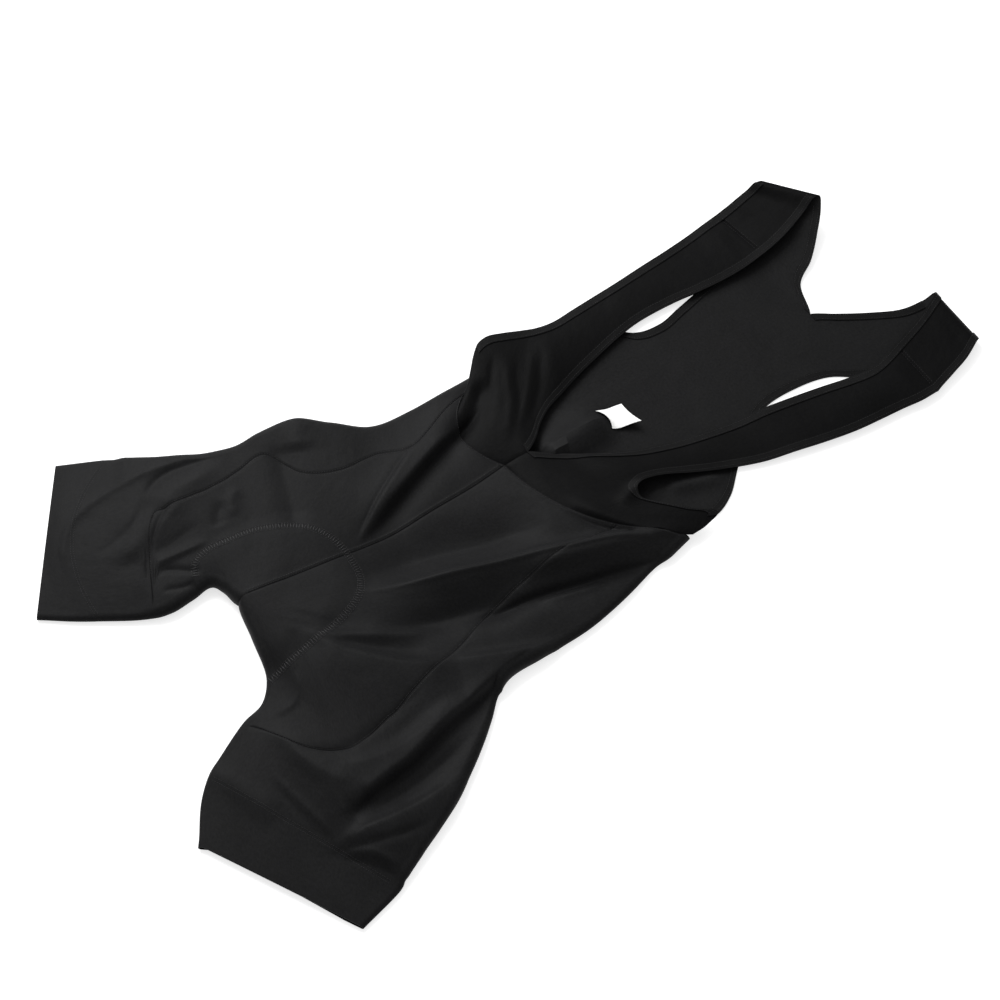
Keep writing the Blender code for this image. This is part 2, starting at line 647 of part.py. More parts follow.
def main():
    for old in list(bpy.data.objects):
        bpy.data.objects.remove(old, do_unlink=True)
    cloth = Cloth()
    waists, back_ends, fronts, backs = {}, {}, {}, {}
    for side, rows in (("left", LEFT_SECTIONS), ("right", RIGHT_SECTIONS)):
        waists[side], back_ends[side] = shorts(cloth, side, rows)
    for side, rows in (("left", LEFT_BIB), ("right", RIGHT_BIB)):
        fronts[side] = bib_front(cloth, side, rows, waists[side])
    for side, rows in (("left", LEFT_BACK), ("right", RIGHT_BACK)):
        backs[side] = bib_back(cloth, side, rows, back_ends[side], fronts[side][0][-1])

    normals = cloth.normals()
    pieces = {name: closed_wall(name, cloth.points, normals, faces, CLOTH,
                                material="band" if "band" in name else "knit")
              for name, faces in cloth.panels.items()}

    ply = CLOTH / 2 + SEAM_GAP + HEM_CLOTH / 2
    for side in ("left", "right"):
        (front, front_along), (back, back_along) = fronts[side], backs[side]
        over = back_along > FOLD_TOP
        for edge, starts, part in (("neck", V_POINT, slice(0, 3)),
                                   ("armhole", ARMHOLE_START, slice(-3, None))):
            sewn = front_along >= starts[side]
            strip = np.concatenate([front[sewn][:, part], back[over][::-1][1:, part]])
            hem(cloth, normals, f"{edge}_hem_{side}", strip, ply)
        inside = (back_along >= BACK_NECK) & (back_along < 335)
        hem(cloth, normals, f"back_neck_hem_{side}", back[inside][:, :3], -ply)
        inside = (back_along >= BACK_ARMHOLE) & (back_along < 335)
        hem(cloth, normals, f"back_arm_hem_{side}", back[inside][:, -3:], -ply)
    seat_pad([pieces["front_left"], pieces["front_right"]])
    care_label()


main()
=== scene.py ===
"""Cycling bib shorts in black knit, laid out on their back with the front up."""

import json
import math

import bpy
import numpy as np
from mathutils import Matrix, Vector
from mathutils.bvhtree import BVHTree

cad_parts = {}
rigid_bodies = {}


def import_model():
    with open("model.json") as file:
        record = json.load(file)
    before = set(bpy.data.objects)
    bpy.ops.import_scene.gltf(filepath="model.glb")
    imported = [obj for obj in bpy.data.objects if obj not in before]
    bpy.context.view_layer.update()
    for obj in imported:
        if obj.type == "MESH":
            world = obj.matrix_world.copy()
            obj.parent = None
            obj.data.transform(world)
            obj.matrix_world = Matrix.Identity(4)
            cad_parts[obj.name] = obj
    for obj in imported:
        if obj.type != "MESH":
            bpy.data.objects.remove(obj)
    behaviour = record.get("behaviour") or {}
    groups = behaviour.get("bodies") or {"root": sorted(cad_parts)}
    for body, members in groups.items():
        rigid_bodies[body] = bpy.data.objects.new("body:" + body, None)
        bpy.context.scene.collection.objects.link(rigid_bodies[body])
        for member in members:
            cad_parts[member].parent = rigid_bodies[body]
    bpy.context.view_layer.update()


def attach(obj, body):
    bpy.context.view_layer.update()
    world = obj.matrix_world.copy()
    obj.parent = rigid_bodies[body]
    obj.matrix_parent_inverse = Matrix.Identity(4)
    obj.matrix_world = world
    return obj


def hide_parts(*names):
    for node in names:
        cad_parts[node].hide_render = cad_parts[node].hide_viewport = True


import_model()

# ==================================================================== camera
# A long lens high above the wearer's left hip, looking across the garment to its right shoulder.
CAMERA_AZIMUTH, CAMERA_ELEVATION = math.radians(59.0), math.radians(60.0)
CAMERA_DISTANCE = 2.70
LOOK_AT = Vector((-0.0312, -0.0308, 0.0))


def in_scene(name, data):
    """A new object of this name, in the scene."""
    made = bpy.data.objects.new(name, data)
    bpy.context.scene.collection.objects.link(made)
    return made


away = Vector((math.sin(CAMERA_AZIMUTH) * math.cos(CAMERA_ELEVATION),
               -math.cos(CAMERA_AZIMUTH) * math.cos(CAMERA_ELEVATION),
               math.sin(CAMERA_ELEVATION)))
lens = bpy.data.cameras.new("camera")
lens.lens, lens.sensor_width = 100.0, 36.0
camera = in_scene("camera", lens)
camera.location = LOOK_AT + away * CAMERA_DISTANCE
camera.rotation_euler = (-away).to_track_quat("-Z", "Y").to_euler()
bpy.context.scene.camera = camera

# ==================================================================== floor and lights
# A white studio table under one large soft light from the view's upper left, a weaker one above it,
# and white all round.
view_right = Vector((math.cos(CAMERA_AZIMUTH), math.sin(CAMERA_AZIMUTH), 0.0))
view_up = Vector((-math.sin(CAMERA_AZIMUTH), math.cos(CAMERA_AZIMUTH), 0.0))
table_mesh = bpy.data.meshes.new("table_top")
TABLE_CORNERS = [(-4, -4, 0), (4, -4, 0), (4, 4, 0), (-4, 4, 0)]  # in metres
table_mesh.from_pydata(TABLE_CORNERS, [], [(0, 1, 2, 3)])
table_top = in_scene("table_top", table_mesh)


def principled(name, **constants):
    """A material whose shader has these constants on its own sockets. Spaces in a name are underscores."""
    material = bpy.data.materials.new(name)
    material.use_nodes = True
    shader = material.node_tree.nodes["Principled BSDF"]
    for socket, value in constants.items():
        shader.inputs[socket.replace("_", " ")].default_value = value
    return material


table_mesh.materials.append(principled(
    "table_white", Base_Color=(0.60, 0.60, 0.60, 1.0), Emission_Color=(1.0, 1.0, 1.0, 1.0),
    Emission_Strength=0.64, Roughness=0.9, Specular_IOR_Level=0.1))

studio = bpy.data.worlds.new("studio")
studio.use_nodes = True
glow = studio.node_tree.nodes["Background"].inputs
glow["Color"].default_value = (1.0, 1.0, 1.0, 1.0)
glow["Strength"].default_value = 0.55
bpy.context.scene.world = studio
bpy.context.scene.view_settings.view_transform = "Standard"
SOFTBOXES = [  # name, watts, side in metres, how far to the view's right, up the view, and above the table
    ("key_softbox", 70.0, 1.5, -1.0, 1.45, 1.6),
    ("top_softbox", 6.0, 1.6, -0.2, 1.0, 1.6),
]
for name, watts, side_length, right, up, above in SOFTBOXES:
    lamp = bpy.data.lights.new(name, "AREA")
    lamp.energy, lamp.size = watts, side_length
    softbox = in_scene(name, lamp)
    softbox.location = LOOK_AT + view_right * right + view_up * up + Vector((0, 0, above))
    softbox.rotation_euler = (LOOK_AT - softbox.location).to_track_quat("-Z", "Y").to_euler()

# ==================================================================== front panels
# Two front panels of black polyamide knit, sewn to each other down the middle. Each runs from the
# waist to a tip at the inner leg, lies over the seat pad, and rolls under at the crotch.
MM = 0.001
FRAME_SHIFT = np.array([-55.0, -304.7, 0.0])  # from the crotch point of the centre seam to the frame's origin
CLOTH = 1.0  # thickness of the knit
SEAM_GAP = 0.06
FLOOR_PLY, TABLE_GAP = 0.6, 0.05  # the middle of the lowest ply, and its lowest face, over the table
LOWEST_TOP, LOWEST_SOFTNESS = 3.4, 6.0  # the upper layer's least height, and how softly it gets there
PLY_CLEARANCE = 1.5  # the least room between the two layers
ROW_STEP, FRONT_COLUMNS, SIDE_COLUMNS, UNDER_COLUMNS = 1.8, 70, 60, 16
LEAST_WIDTH, LEAST_SHARE = 0.5, 0.004  # of a panel that narrows to a tip
ROLL_DEPTH, ROLL_SHARE, ROLL_STEPS = 9.0, 0.7, 10  # how far an edge rolls out: at most, and for its height
SEAM_TAIL, TAIL_STEPS = 15.0, 4  # how far a rolled edge runs on underneath
SEAM_LINES, LINES_SHARE = [0.0, 1.0, 2.6], 0.15  # columns beside a seam, and their share of a width at most
SEAM_DIP, SEAM_DIP_WIDTH = 0.7, 1.7  # how far the stitching draws the cloth in, and over what width
CENTRE_DIP = (1.4, 1.5)  # beside the centre seam a distance counts 1.4 times, and 1.5 more
RIDGE_WIDTH, WAIST_RIDGE, CENTRE_RIDGE = 1.6, (2.8, 0.5), (2.9, 0.55)  # how far from the seam, and how high
FAR = 99.0  # a distance at which a seam draws nothing in
PAD_OUTLINE = dict(x=4.0, y=15.0, half_width=71.0, half_length=104.0, power=2.4)
PAD_RISE, PAD_EDGE, PAD_SLOPE = 2.5, 1.25, 0.8  # how far the pad lifts the cloth, from where, and how fast

# One row for each section from the waist seam to the hem: how far along it is, its inner and outer
# end, its bow towards the waist, the front panel's share of it, and the height of the upper layer at
# its inner end, middle and outer end.
SECTION_COLUMNS = "along in_x in_y out_x out_y bow seam in_h mid_h out_h".split()
LEFT_SECTIONS = [
    (0, 0, 294, 156, 405, -23, 0.69, 14, 20, 10),
    (42, 0, 255, 173, 345, -15, 0.64, 12, 18, 10),
    (85, 0, 210, 189, 280, -6, 0.63, 14, 16, 10),
    (135, 0, 160, 194, 220, 2, 0.68, 15, 17, 12),
    (185, 0, 110, 200, 174, 8, 0.76, 17, 17, 14),
    (230, 0, 62, 228, 144, 12, 0.72, 20, 20, 14),
    (265, 0, 25, 256, 108, 12, 0.69, 22, 21, 14),
    (290, 0, 0, 278, 77, 10, 0.67, 21, 21, 12),
    (312, 40, -7, 294, 48, 6, 0.60, 18, 22, 12),
    (334, 80, -14, 306, 24, 3, 0.49, 13, 23, 12),
    (352, 101, -30, 315, 7, 0, 0.32, 12, 24, 11),
    (372, 110, -56, 320, -3, 0, 0.0, 10, 20, 10),
    (400, 142, -108, 326, -12, 0, 0.0, 7, 12, 7),
    (445, 197, -148, 340, -59, 0, 0.0, 5, 6, 5),
]
RIGHT_SECTIONS = [
    (0, 0, 294, -108, 318, -30, 0.90, 14, 16, 12),
    (42, 0, 255, -106, 290, -10, 0.85, 12, 16, 14),
    (85, 0, 210, -104, 248, -4, 0.66, 14, 18, 14),
    (135, 0, 160, -107, 205, 2, 0.76, 15, 18, 17),
    (185, 0, 110, -130, 172, 6, 0.65, 17, 21, 21),
    (230, 0, 62, -152, 140, 8, 0.67, 20, 22, 22),
    (265, 0, 25, -156, 105, 8, 0.88, 22, 22, 21),
    (290, 0, 0, -155, 78, 8, 0.86, 21, 21, 20),
    (312, -20, -6, -163, 52, 5, 0.76, 18, 21, 19),
    (334, -32, -14, -174, 30, 0, 0.66, 15, 21, 17),
    (356, -29, -36, -187, 6, 0, 0.61, 13, 20, 15),
    (374, -28, -58, -198, -12, 0, 0.50, 12, 18, 13),
    (386, -32, -74, -203, -21, -8, 0.0, 11, 16, 12),
    (392, -36, -84, -205, -26, -14, 0.0, 10, 14, 10),
    (410, -58, -123, -211, -37, -26, 0.0, 8, 11, 8),
    (450, -89, -170, -230, -80, 0, 0.0, 5, 6, 5),
]
BAND_STARTS = dict(left=400, right=410)
CROTCH = 290  # where the centre seam ends, along the sections
CROTCH_CURVE, CROTCH_EASE = 9.0, 60.0  # how far the crotch's edge is curved in, and over what length
CROTCH_TURN = 18.0  # over what length the edge turns from the crotch to the inner leg
CENTRE_SEAM = [(0, 0), (42, 4), (85, 7), (135, 10), (185, 9), (230, 6), (265, 3), (290, 0)]  # along, x of it
BACK_SEAM = [(0, 418), (85, 300), (185, 150), (290, 23)]  # along, y of the centre-back seam under it

# One row for each fold of the upper layer: its height on the left and on the right of its route, its
# half-width there, and the route's points. Equal heights make a ridge or, below nought, a crease, and
# unequal ones a step where the cloth hangs over itself.
FOLDS = [
    # wearer's left hip: the long ridge from the crotch to the waist, its shelf and the creases beside it
    (14, 10, 9, 15, [(50, 90), (69, 142), (83, 186), (95, 226), (109, 275), (119, 302), (129, 335),
                     (147, 382), (160, 418)]),
    (7, 7, 11, 9, [(115, 240), (120, 275), (128, 305), (137, 338), (147, 370)]),
    (-8, -8, 13, 16, [(96, 92), (107, 128), (115, 160), (122, 190), (127, 215), (131, 240)]),
    (-2, -10, 5, 12, [(127, 170), (131, 205), (133, 235), (138, 265), (145, 297), (151, 330), (158, 362),
                      (166, 392)]),
    (-10, -10, 30, 15, [(34, 105), (40, 150), (49, 190), (60, 230), (68, 265), (78, 300)]),
    (2.5, 2.5, 3, 5, [(142, 240), (148, 260), (152, 276), (156, 296), (158, 312)]),
    (5, 5, 7, 22, [(156, 130), (165, 153), (173, 174), (180, 193), (186, 212), (193, 231), (200, 245)]),
    # wearer's left thigh: the deep crease down its middle and the roll outside it
    (5, -9, 14, 26, [(240, -26), (242, -12), (238, 4), (234, 22), (231, 38), (228, 55), (223, 72),
                     (216, 92), (209, 115), (203, 138), (196, 160), (189, 188), (183, 214)]),
    (-4, -4, 9, 9, [(235, 12), (241, -4), (241, -20)]),
    (4, 4, 9, 22, [(198, -10), (208, 15), (212, 45), (210, 75), (202, 103), (192, 130)]),
    (-3, -3, 7, 8, [(250, -30), (251, 0), (250, 30), (246, 60), (238, 95), (228, 130)]),
    (5, 5, 6, 24, [(262, -48), (265, -20), (267, 7), (268, 39), (266, 65), (260, 100)]),
    (-0.5, -2.6, 3, 5, [(266, -58), (270, -36), (276, -15), (281, 5), (284, 24), (284, 52)]),
    (-1.2, -1.2, 5, 5, [(150, -33), (166, -22), (180, -7), (187, 10), (186, 28), (183, 50), (177, 78),
                        (168, 105), (160, 125)]),
    (7, 7, 9, 42, [(62, 26), (84, 44), (104, 62), (126, 83), (144, 104), (156, 126), (163, 146)]),
    (4, 4, 7, 7, [(60, 32), (76, 50), (92, 78), (106, 104), (116, 128), (124, 152)]),
    (-1.5, -1.5, 7, 7, [(78, 46), (96, 66), (113, 88), (128, 112), (138, 134)]),
    (1.4, 1.4, 4, 4, [(92, 10), (105, 6), (117, -2), (122, -14), (119, -29)]),
    (0.5, 0.5, 4, 4, [(30, 34), (50, 54), (66, 66)]),
    (0.5, 0.5, 4, 4, [(38, 26), (56, 44), (72, 57)]),
    (0.5, 0.5, 4, 4, [(46, 18), (60, 35), (78, 52)]),
    (2, 2, 9, 10, [(126, -46), (147, -33), (170, -28), (190, -21), (213, -8), (222, 0)]),
    (1.1, 1.1, 3.5, 2.5, [(168, -58), (200, -52), (235, -43), (255, -40)]),
    (-0.4, -0.4, 2.5, 3, [(172, -63), (205, -58), (238, -50), (257, -46)]),
    (2.5, 2.5, 12, 12, [(128, -102), (155, -95), (185, -84), (215, -75)]),
    (2, 2, 5, 4, [(268, -47), (277, -30), (288, -16), (302, -6), (316, 1)]),
    (-1.2, -1.2, 4, 5, [(270, -52), (280, -38), (292, -26), (306, -15), (318, -9)]),
    # wearer's right hip: the ridge and the hollow from the crotch to the bib's flap
    (8, -7, 28, 18, [(4, 130), (-8, 158), (-20, 183), (-31, 209), (-43, 238), (-54, 265), (-64, 292),
                     (-74, 314)]),
    (-1.6, 2.4, 4, 8, [(3, 126), (-15, 151), (-35, 181), (-50, 206), (-63, 229)]),
    (-3, -3, 12, 12, [(-150, 122), (-125, 112), (-100, 104), (-75, 97), (-50, 87), (-35, 80)]),
    (3, 3, 18, 18, [(-146, 150), (-132, 136), (-112, 126)]),
    # wearer's right thigh: long arcs down to the leg band, a puff between them, creases at the crotch
    (1.6, 1.6, 4, 5, [(-82, -127), (-115, -122), (-136, -117), (-152, -107), (-165, -90), (-172, -62),
                      (-173, -30), (-170, 5), (-162, 38), (-148, 75)]),
    (-2.6, -2.6, 9, 5, [(-148, 62), (-156, 35), (-160, 8), (-156, -10), (-145, -23)]),
    (-1.3, -1.3, 4, 4, [(-150, -16), (-136, -31), (-125, -50), (-119, -70), (-116, -90)]),
    (2.5, 2.5, 12, 12, [(-138, 52), (-137, 25), (-134, 0), (-124, -20)]),
    (1.8, 1.8, 9, 13, [(-124, 14), (-117, -8), (-109, -32), (-103, -58), (-101, -84)]),
    (-1.6, -1.6, 13, 7, [(-94, 14), (-89, -12), (-87, -38), (-90, -66), (-94, -90)]),
    (2, 2, 4, 5, [(-72, 8), (-73, -15), (-76, -40), (-77, -60)]),
    (-0.5, -3, 3, 4, [(-44, -14), (-54, -28), (-64, -42), (-70, -58)]),
    (-1.4, -1.4, 3, 3, [(-38, -20), (-42, -40), (-50, -58)]),
    (-1.6, -1.6, 2.5, 3, [(-127, 2), (-120, -18), (-104, -36), (-88, -50), (-74, -59), (-56, -61)]),
    (1.5, 1.5, 7, 6, [(-110, 60), (-98, 45), (-80, 38)]),
    (-1.5, -1.5, 7, 6, [(-104, 40), (-90, 26), (-78, 22)]),
    # bib, wearer's right: pleats that fan from the neck to the armhole over the hollow under them
    (-7, -7, 8, 8, [(-53, 250), (-61, 280), (-70, 300), (-82, 314), (-96, 324)]),
    (-2, -2, 4, 5, [(-43, 298), (-66, 315), (-92, 333), (-118, 352)]),
    (1.2, 1.2, 4, 5, [(-19, 305), (-54, 333), (-82, 347), (-110, 361)]),
    (-1.2, -1.2, 4, 5, [(-13, 307), (-46, 338), (-75, 352), (-108, 373)]),
    (1.2, 1.2, 4, 5, [(-20, 316), (-54, 351), (-79, 371), (-106, 390)]),
    (-1.2, -1.2, 4, 5, [(-14, 319), (-50, 360), (-75, 380), (-103, 398)]),
    # bib, wearer's left: the roll over the waist seam and the mouth of the fold at the armhole
    (3.5, 3.5, 8, 4, [(66, 322), (86, 334), (106, 348), (126, 366), (142, 385), (150, 400)]),
    (-2.5, -2.5, 4, 4, [(76, 316), (95, 327), (112, 340), (126, 357), (138, 377)]),
    (4, 4, 6, 6, [(99, 362), (92, 378), (88, 389), (91, 405)]),
]
# The back layer's folds: one inside the neck and one in the left armhole.
BACK_FOLDS = [
    (15, 14, 13, 20, [(4, 418), (4, 396), (6, 372), (9, 345), (11, 325)]),
    (4, 4, 7, 7, [(97, 418), (102, 434), (109, 454), (117, 478)]),
]
ROUTE_STEPS, FOLD_FAR, FOLD_POWER = 5, 3, 1.7  # steps for each point, reach in widths, and the bell's power
STEP_SOFTNESS = 2.5  # how far it takes a fold's height to change from one side to the other
FADE_LENGTH, FADE_START = 0.3, 0.08  # the share of a route that a fold fades over, and what it starts at


def columns_of(names, rows):
    return dict(zip(names, np.array(rows, float).T))


def smooth(x, xs, ys):
    """A cubic through the table's rows, with the slope at each row taken from its neighbours."""
    xs, ys = np.asarray(xs, float), np.asarray(ys, float)
    slope = np.gradient(ys, xs)
    i = np.clip(np.searchsorted(xs, x) - 1, 0, len(xs) - 2)
    step = xs[i + 1] - xs[i]
    t = (x - xs[i]) / step
    return ((2 * t**3 - 3 * t**2 + 1) * ys[i] + (t**3 - 2 * t**2 + t) * step * slope[i]
            + (3 * t**2 - 2 * t**3) * ys[i + 1] + (t**3 - t**2) * step * slope[i + 1])


def smooth_route(route, count):
    """So many points on a smooth line through the route's points."""
    route = np.array(route, float)
    pick = np.linspace(0, len(route) - 1, count)
    return np.stack([smooth(pick, np.arange(len(route)), route[:, k]) for k in (0, 1)], axis=1)


def read_table(table, along):
    return {name: smooth(along, table["along"], table[name]) for name in table if name != "along"}


def ease(t):
    t = np.clip(t, 0, 1)
    return t * t * (3 - 2 * t)


def fold_height(x, y, fold):
    """Height of one fold at (x, y): a bell on each side of its route, fading out at both ends."""
    left_rise, right_rise, left, right, route = fold
    path = smooth_route(route, ROUTE_STEPS * len(route))
    reach = FOLD_FAR * max(left, right)
    near = ((x > path[:, 0].min() - reach) & (x < path[:, 0].max() + reach)
            & (y > path[:, 1].min() - reach) & (y < path[:, 1].max() + reach))
    result = np.zeros(np.shape(x))
    if not near.any():
        return result
    px, py = x[near], y[near]
    nearest, place, turn = np.full(px.shape, np.inf), np.zeros(px.shape), np.zeros(px.shape)
    for k in range(len(path) - 1):
        start, run = path[k], path[k + 1] - path[k]
        dx, dy = px - start[0], py - start[1]
        t = np.clip((dx * run[0] + dy * run[1]) / (run @ run), 0, 1)
        away = np.hypot(dx - t * run[0], dy - t * run[1])
        closer = away < nearest
        nearest = np.where(closer, away, nearest)
        place = np.where(closer, (k + t) / (len(path) - 1), place)
        turn = np.where(closer, (run[0] * dy - run[1] * dx) / np.hypot(*run), turn)
    side = 0.5 + 0.5 * np.tanh(turn / STEP_SOFTNESS)  # 1 on the left of the route, 0 on its right
    width = left * side + right * (1 - side)
    rise = left_rise * side + right_rise * (1 - side)
    fade = ease(place / FADE_LENGTH + FADE_START) * ease((1 - place) / FADE_LENGTH + FADE_START)
    result[near] = rise * fade * np.exp(-((nearest / width) ** FOLD_POWER))
    return result


def pad_share(x, y):
    """1 in the middle of the seat pad, falling to 0 just outside its outline."""
    o = PAD_OUTLINE
    reach = (np.abs((x - o["x"]) / o["half_width"]) ** o["power"]
             + np.abs((y - o["y"]) / o["half_length"]) ** o["power"])
    return ease((PAD_EDGE - reach) / PAD_SLOPE)


def back_height(x, y):
    """Height of the layer underneath: flat, but for its folds."""
    return sum((fold_height(x, y, fold) for fold in BACK_FOLDS), FLOOR_PLY)


def top_height(x, y, base):
    """Height of the upper layer: its section's height with the folds and the pad under it."""
    z = base + sum(fold_height(x, y, fold) for fold in FOLDS) + PAD_RISE * pad_share(x, y)
    over = z - LOWEST_TOP
    z = LOWEST_TOP + (over + np.sqrt(over**2 + LOWEST_SOFTNESS)) / 2
    return np.maximum(z, back_height(x, y) + CLOTH + PLY_CLEARANCE)


def ends_of(column):
    """The inner and the outer end of each section, in plan."""
    return [np.stack([column[f"{end}_x"], column[f"{end}_y"]], axis=1) for end in ("in", "out")]


def crown(share, column):
    """A parabola through the heights of each section's inner end, middle and outer end."""
    low, middle, high = (column[f"{place}_h"][:, None] for place in ("in", "mid", "out"))
    return (low * (1 - share) * (1 - 2 * share) + middle * 4 * share * (1 - share)
            + high * share * (2 * share - 1))


def lay_sections(share, start, end, bow):
    """Points of the sections in plan: straight from start to end, with their bow."""
    run = end - start
    side = np.where(end[:, 0] > start[:, 0], 1.0, -1.0) / np.hypot(run[:, 0], run[:, 1])
    to_waist = np.stack([-run[:, 1], run[:, 0]], axis=1) * side[:, None]
    bulge = (bow[:, None] * 4 * share * (1 - share))[..., None]
    return start[:, None] + share[..., None] * run[:, None] + bulge * to_waist[:, None]


def with_height(plan, z):
    return np.concatenate([plan, z[..., None]], axis=-1)


def roll_depth(height):
    return np.minimum(ROLL_SHARE * height, ROLL_DEPTH)


def rolled_edge(start, outward, top):
    """The rolls that begin at start, where the upper layer ends at the height top, with their tails."""
    middle, half = (top + FLOOR_PLY) / 2, (top - FLOOR_PLY) / 2
    angle = np.linspace(0, math.pi, ROLL_STEPS + 1)
    tail = np.repeat(-np.linspace(0, SEAM_TAIL, TAIL_STEPS + 1)[None, 1:], len(top), 0)
    out = np.concatenate([roll_depth(top)[:, None] * np.sin(angle), tail], 1)
    z = np.concatenate([middle[:, None] + half[:, None] * np.cos(angle), np.full(tail.shape, FLOOR_PLY)], 1)
    return with_height(start[:, None] + out[..., None] * outward[:, None], z)


def spaced(width, count, seam_at_start, seam_at_end):
    """Shares across a panel, one row for each width, with extra columns beside its seams."""
    width = np.maximum(width, LEAST_WIDTH)[:, None]
    lines = np.array(SEAM_LINES)
    lines = np.minimum(lines / width, lines / lines[-1] * LINES_SHARE)
    first = lines if seam_at_start else np.zeros((len(width), 1))
    last = 1 - lines[:, ::-1] if seam_at_end else np.ones((len(width), 1))
    t = np.linspace(0, 1, count)[1:-1]
    middle = first[:, -1:] + t * (last[:, :1] - first[:, -1:])
    return np.concatenate([first, middle, last], axis=1)


def rows_between(start, end, seam_at_start, seam_at_end):
    length = end - start
    share = spaced(np.array([float(length)]), round(length / ROW_STEP), seam_at_start, seam_at_end)[0]
    return start + length * share


def row_at(along, place):
    """The first row that is at least so far along."""
    return int(np.argmax(along >= place))


def lay_leg(side, rows):
    """The upper layer of one side of the shorts with its rolled edges and the layer under it."""
    table = columns_of(SECTION_COLUMNS, rows)
    tip, band, last = table["along"][np.argmax(table["seam"] <= 0)], BAND_STARTS[side], table["along"][-1]
    stops = [(0, CROTCH, True, False), (CROTCH, tip, False, False), (tip, band, False, True),
             (band, last, True, False)]
    along = np.concatenate([rows_between(*stop)[:-1] for stop in stops] + [[last]])
    column = read_table(table, along)
    seam_table = np.array(CENTRE_SEAM, float).T
    column["in_x"][along <= CROTCH] = smooth(along[along <= CROTCH], *seam_table)
    curve = CROTCH_CURVE * ease((along - CROTCH + CROTCH_EASE) / CROTCH_EASE)
    column["in_y"] += np.where(along <= CROTCH, curve, 0.0)
    column["seam"] = np.where(along < tip, np.clip(column["seam"], LEAST_SHARE, 1), 0.0)
    crotch_row, tip_row, band_row = (int(np.argmin(abs(along - stop))) for stop in (CROTCH, tip, band))

    start, end = ends_of(column)
    outward = (end - start) / np.hypot(*(end - start).T)[:, None]
    run = np.gradient(start[crotch_row:], axis=0)
    inner_out = np.stack([run[:, 1], -run[:, 0]], axis=1) * np.sign(start[-1, 0])
    inner_out /= np.hypot(*inner_out.T)[:, None]
    blend = ease((along[crotch_row:] - CROTCH) / CROTCH_TURN)[:, None]
    inner_out = blend * inner_out + (1 - blend) * np.array([0.0, -1.0])
    inner_out /= np.hypot(*inner_out.T)[:, None]
    start[crotch_row + 1 :] -= inner_out[1:] * roll_depth(column["in_h"][crotch_row + 1 :])[:, None]
    end -= outward * roll_depth(column["out_h"])[:, None]

    width = np.hypot(*(end - start).T)
    seam = column["seam"][:, None]
    front_share = seam * spaced(width * column["seam"], FRONT_COLUMNS, True, True)
    side_share = seam + (1 - seam) * spaced(width * (1 - column["seam"]), SIDE_COLUMNS, True, False)
    share = np.concatenate([front_share, side_share[:, 1:]], axis=1)
    plan = lay_sections(share, start, end, column["bow"])
    z = top_height(plan[..., 0], plan[..., 1], crown(share, column))
    top = with_height(plan, z)
    outer_roll = rolled_edge(end, outward, z[:, -1])
    inner_roll = rolled_edge(start[crotch_row:], inner_out, z[crotch_row:, 0])

    back_seam = np.array(BACK_SEAM, float)
    centre = np.zeros((crotch_row, 3))
    centre[:, 1] = smooth(along[:crotch_row], back_seam[:, 0], back_seam[:, 1])
    inner_end = np.concatenate([centre, inner_roll[:, -1]])
    t = np.linspace(0, 1, UNDER_COLUMNS)[None, :, None]
    under = outer_roll[:, -1:] + t * (inner_end - outer_roll[:, -1])[:, None]
    under[..., 2] = back_height(under[..., 0], under[..., 1])
    return dict(top=top, outer_roll=outer_roll, inner_roll=inner_roll, under=under, along=along,
                seam_column=front_share.shape[1] - 1, crotch_row=crotch_row, tip_row=tip_row,
                band_row=band_row)


ON_RIM = 0.3  # how long the inward directions at a point add up to, at least, where it is on the rim
SHARP_ANGLE = math.radians(50)


class Sewing:
    """Grids of points sewn along their shared edges, with the normals that they share there."""

    def __init__(self):
        self.grids = []

    def add(self, points, flip, across, along):
        """Adds a grid (rows, columns, 3) with its two flat coordinates, and returns its number."""
        self.grids.append((points, flip, np.broadcast_to(across, points.shape[:2]),
                           np.broadcast_to(along, points.shape[:2])))
        return len(self.grids) - 1

    def settle(self):
        flat = np.concatenate([grid[0].reshape(-1, 3) for grid in self.grids])
        _, first, index = np.unique(np.round(flat, 2), axis=0, return_index=True, return_inverse=True)
        self.points, index = flat[first], index.reshape(-1)
        self.ids, at = [], 0
        for points, *_ in self.grids:
            size = points.shape[0] * points.shape[1]
            self.ids.append(index[at : at + size].reshape(points.shape[:2]))
            at += size
        normals = np.zeros_like(self.points)
        for k in range(len(self.grids)):
            quads = self.quads(k)[0]
            a, b, c, d = (self.points[quads[:, i]] for i in range(4))
            cross = np.cross(c - a, d - b)
            for i in range(4):
                np.add.at(normals, quads[:, i], cross)
        self.normals = normals / np.maximum(np.linalg.norm(normals, axis=1), 1e-9)[:, None]

    def quads(self, k, rows=slice(None), columns=slice(None)):
        """Corner indices and flat coordinates of a grid's quads, within some rows and columns."""
        _, flip, across, along = self.grids[k]
        found = []
        for values in (self.ids[k], across, along):
            v = values[rows, columns]
            corners = [v[:-1, :-1], v[1:, :-1], v[1:, 1:], v[:-1, 1:]]
            found.append(np.stack(corners[::-1] if flip else corners, axis=-1).reshape(-1, 4))
        return found[0], np.stack(found[1:], axis=-1)


